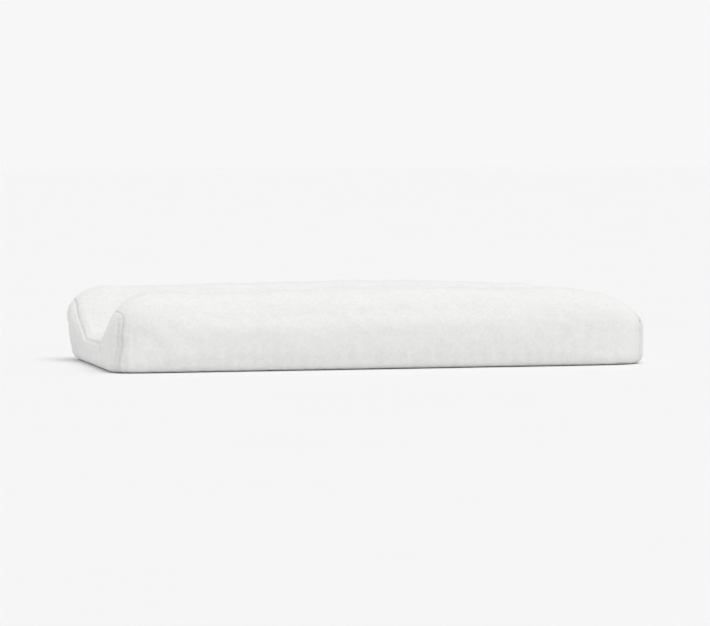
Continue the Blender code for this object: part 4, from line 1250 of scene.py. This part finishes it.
def grip_finish():
    """Non-woven base cloth: short fibres pressed flat, with a fine dimple from the calender."""
    made = Recipe("grip_fabric", Roughness=0.85, Specular_IOR_Level=0.2)
    place = made.place()
    fibre, dimple = made.noise(place, 700, 4, 0.65), made.cells(place, 600)
    made.feed(Base_Color=made.mixed(fibre * 0.6 + dimple * 0.4, grey(0.66), grey(0.80)))
    made.relief(fibre * 0.5 + dimple * 0.5, 0.2 * MM, 0.8)
    return made.material


def label_finish():
    """Woven satin, with nothing on it: long floats that slant a little, over a finer thread."""
    made = Recipe("label", Roughness=0.45, Sheen_Weight=0.1, Specular_IOR_Level=0.4)
    x, y = made.axes(made.place())
    satin = x.fold(0.5 * MM) * 0.3 + (x * 0.3 + y).fold(0.7 * MM) * 0.7
    made.feed(Base_Color=made.mixed(satin, grey(0.84), grey(0.92)))
    made.relief(satin, 0.05 * MM, 0.6)
    return made.material


def refinish(node, finish):
    """Gives a frame part its finish in every material slot."""
    for held in nodes[node].material_slots:
        held.material = finish


plastic, elastic, grip, label = moulded_finish(), elastic_finish(), grip_finish(), label_finish()
nickel = metal_finish("nickel", (0.78, 0.77, 0.74, 1), (0.62, 0.61, 0.58, 1))
brass = metal_finish("brass", (0.83, 0.66, 0.34, 1), (0.66, 0.49, 0.22, 1))
FINISHED = {
    plastic: ("buckle_plug", "buckle_prong_left", "buckle_prong_right", "buckle_socket", "strap_keeper"),
    elastic: ("cover_hem_elastic",),
    grip: ("liner_bottom_panel",),
    tape: ("anchor_tab_left", "anchor_tab_right"),
    brass: ("anchor_grommet_left", "anchor_grommet_right"),
    nickel: tuple(f"vent_eyelet_{a}_{b}" for a in ("left", "right") for b in ("front", "rear")),
    label: ("care_label",),
}
for finish, names in FINISHED.items():
    for name in names:
        refinish(name, finish)
print(f"{sum(len(n) for n in FINISHED.values())} frame parts finished")

# %% [markdown]
# ## The floor
# A pale floor that reaches far enough to be behind the pad from every side. It lies half a millimetre down,
# so that it never shares a face with the pad's bottom.

# %% Floor
FLOOR_REACH, FLOOR_DOWN = 40.0, 0.5 * MM


def floor_finish():
    """A pale matt floor with clouds too faint to draw the eye."""
    made = Recipe("pale_floor", Roughness=0.85, Specular_IOR_Level=0.2)
    made.feed(Base_Color=made.mixed(made.noise(made.place(), 3, 2), grey(0.87), grey(0.885)))
    return made.material


corner = np.array([[-1, -1], [1, -1], [1, 1], [-1, 1]]) * FLOOR_REACH
floor_mesh, _ = mesh_of("floor", np.c_[corner, np.full(4, -FLOOR_DOWN)], [np.array([[0, 1, 2, 3]])], False)
piece("floor", floor_mesh, floor_finish())
print(f"The floor reaches {FLOOR_REACH:.0f} m each way")

# %% [markdown]
# ## Sky and light
# A soft even sky, and one very soft light from above and a little in front, so that the tops are the
# brightest faces and the ends the darkest. Near the horizon the sky is as bright as the floor, so that no
# line shows where they meet.

# %% Sky and light
SKY_AT_HORIZON, SKY_ABOVE = 0.93, 0.70
HAZE_FROM, HAZE_TO = 0.05, 0.20
SUN_STRENGTH, SUN_WIDTH = 1.2, math.radians(50)
SUN_FROM = Vector((0.20, -0.30, 0.93))

scene = bpy.context.scene
scene.view_settings.view_transform = "Standard"
world = bpy.data.worlds.new("soft_sky")
scene.world = world
world.use_nodes = True
sky = world.node_tree
way = sky.nodes.new("ShaderNodeTexCoord").outputs["Generated"]
height = sky.nodes.new("ShaderNodeSeparateXYZ")
haze = sky.nodes.new("ShaderNodeMapRange")
for socket, value in zip(haze.inputs[1:5], (HAZE_FROM, HAZE_TO, SKY_AT_HORIZON, SKY_ABOVE)):
    socket.default_value = value
sky.links.new(way, height.inputs[0])
sky.links.new(height.outputs["Z"], haze.inputs[0])
sky.links.new(haze.outputs[0], sky.nodes["Background"].inputs["Strength"])
sky.nodes["Background"].inputs["Color"].default_value = (1, 1, 1, 1)

soft_sun = bpy.data.lights.new("soft_sun", "SUN")
soft_sun.energy = SUN_STRENGTH
soft_sun.angle = SUN_WIDTH
sun = bpy.data.objects.new("soft_sun", soft_sun)
sun.rotation_euler = SUN_FROM.to_track_quat("Z", "Y").to_euler()
scene.collection.objects.link(sun)
print(f"The sky runs from {SKY_AT_HORIZON} at the horizon to {SKY_ABOVE} above")

# %% [markdown]
# ## The camera
# A long lens from far off, low and from the front, a little to the left, so that the pad's long front side is
# seen with its left end.

# %% Camera
CAMERA_AT = Vector((-1.237, -5.318, 0.341))
CAMERA_AIM = Vector((0.0, 0.0, 0.075))
CAMERA_ROLL = math.radians(0.15)
CAMERA_LENS = 178
lens = bpy.data.cameras.new("camera")
lens.lens = CAMERA_LENS
camera = bpy.data.objects.new("camera", lens)
camera.location = CAMERA_AT
looking = (CAMERA_AIM - CAMERA_AT).to_track_quat("-Z", "Y").to_matrix()
camera.rotation_euler = (looking @ Matrix.Rotation(-CAMERA_ROLL, 3, "Z")).to_euler()
scene.collection.objects.link(camera)
scene.camera = camera
print(f"The camera stands {(CAMERA_AT - CAMERA_AIM).length:.2f} m away")
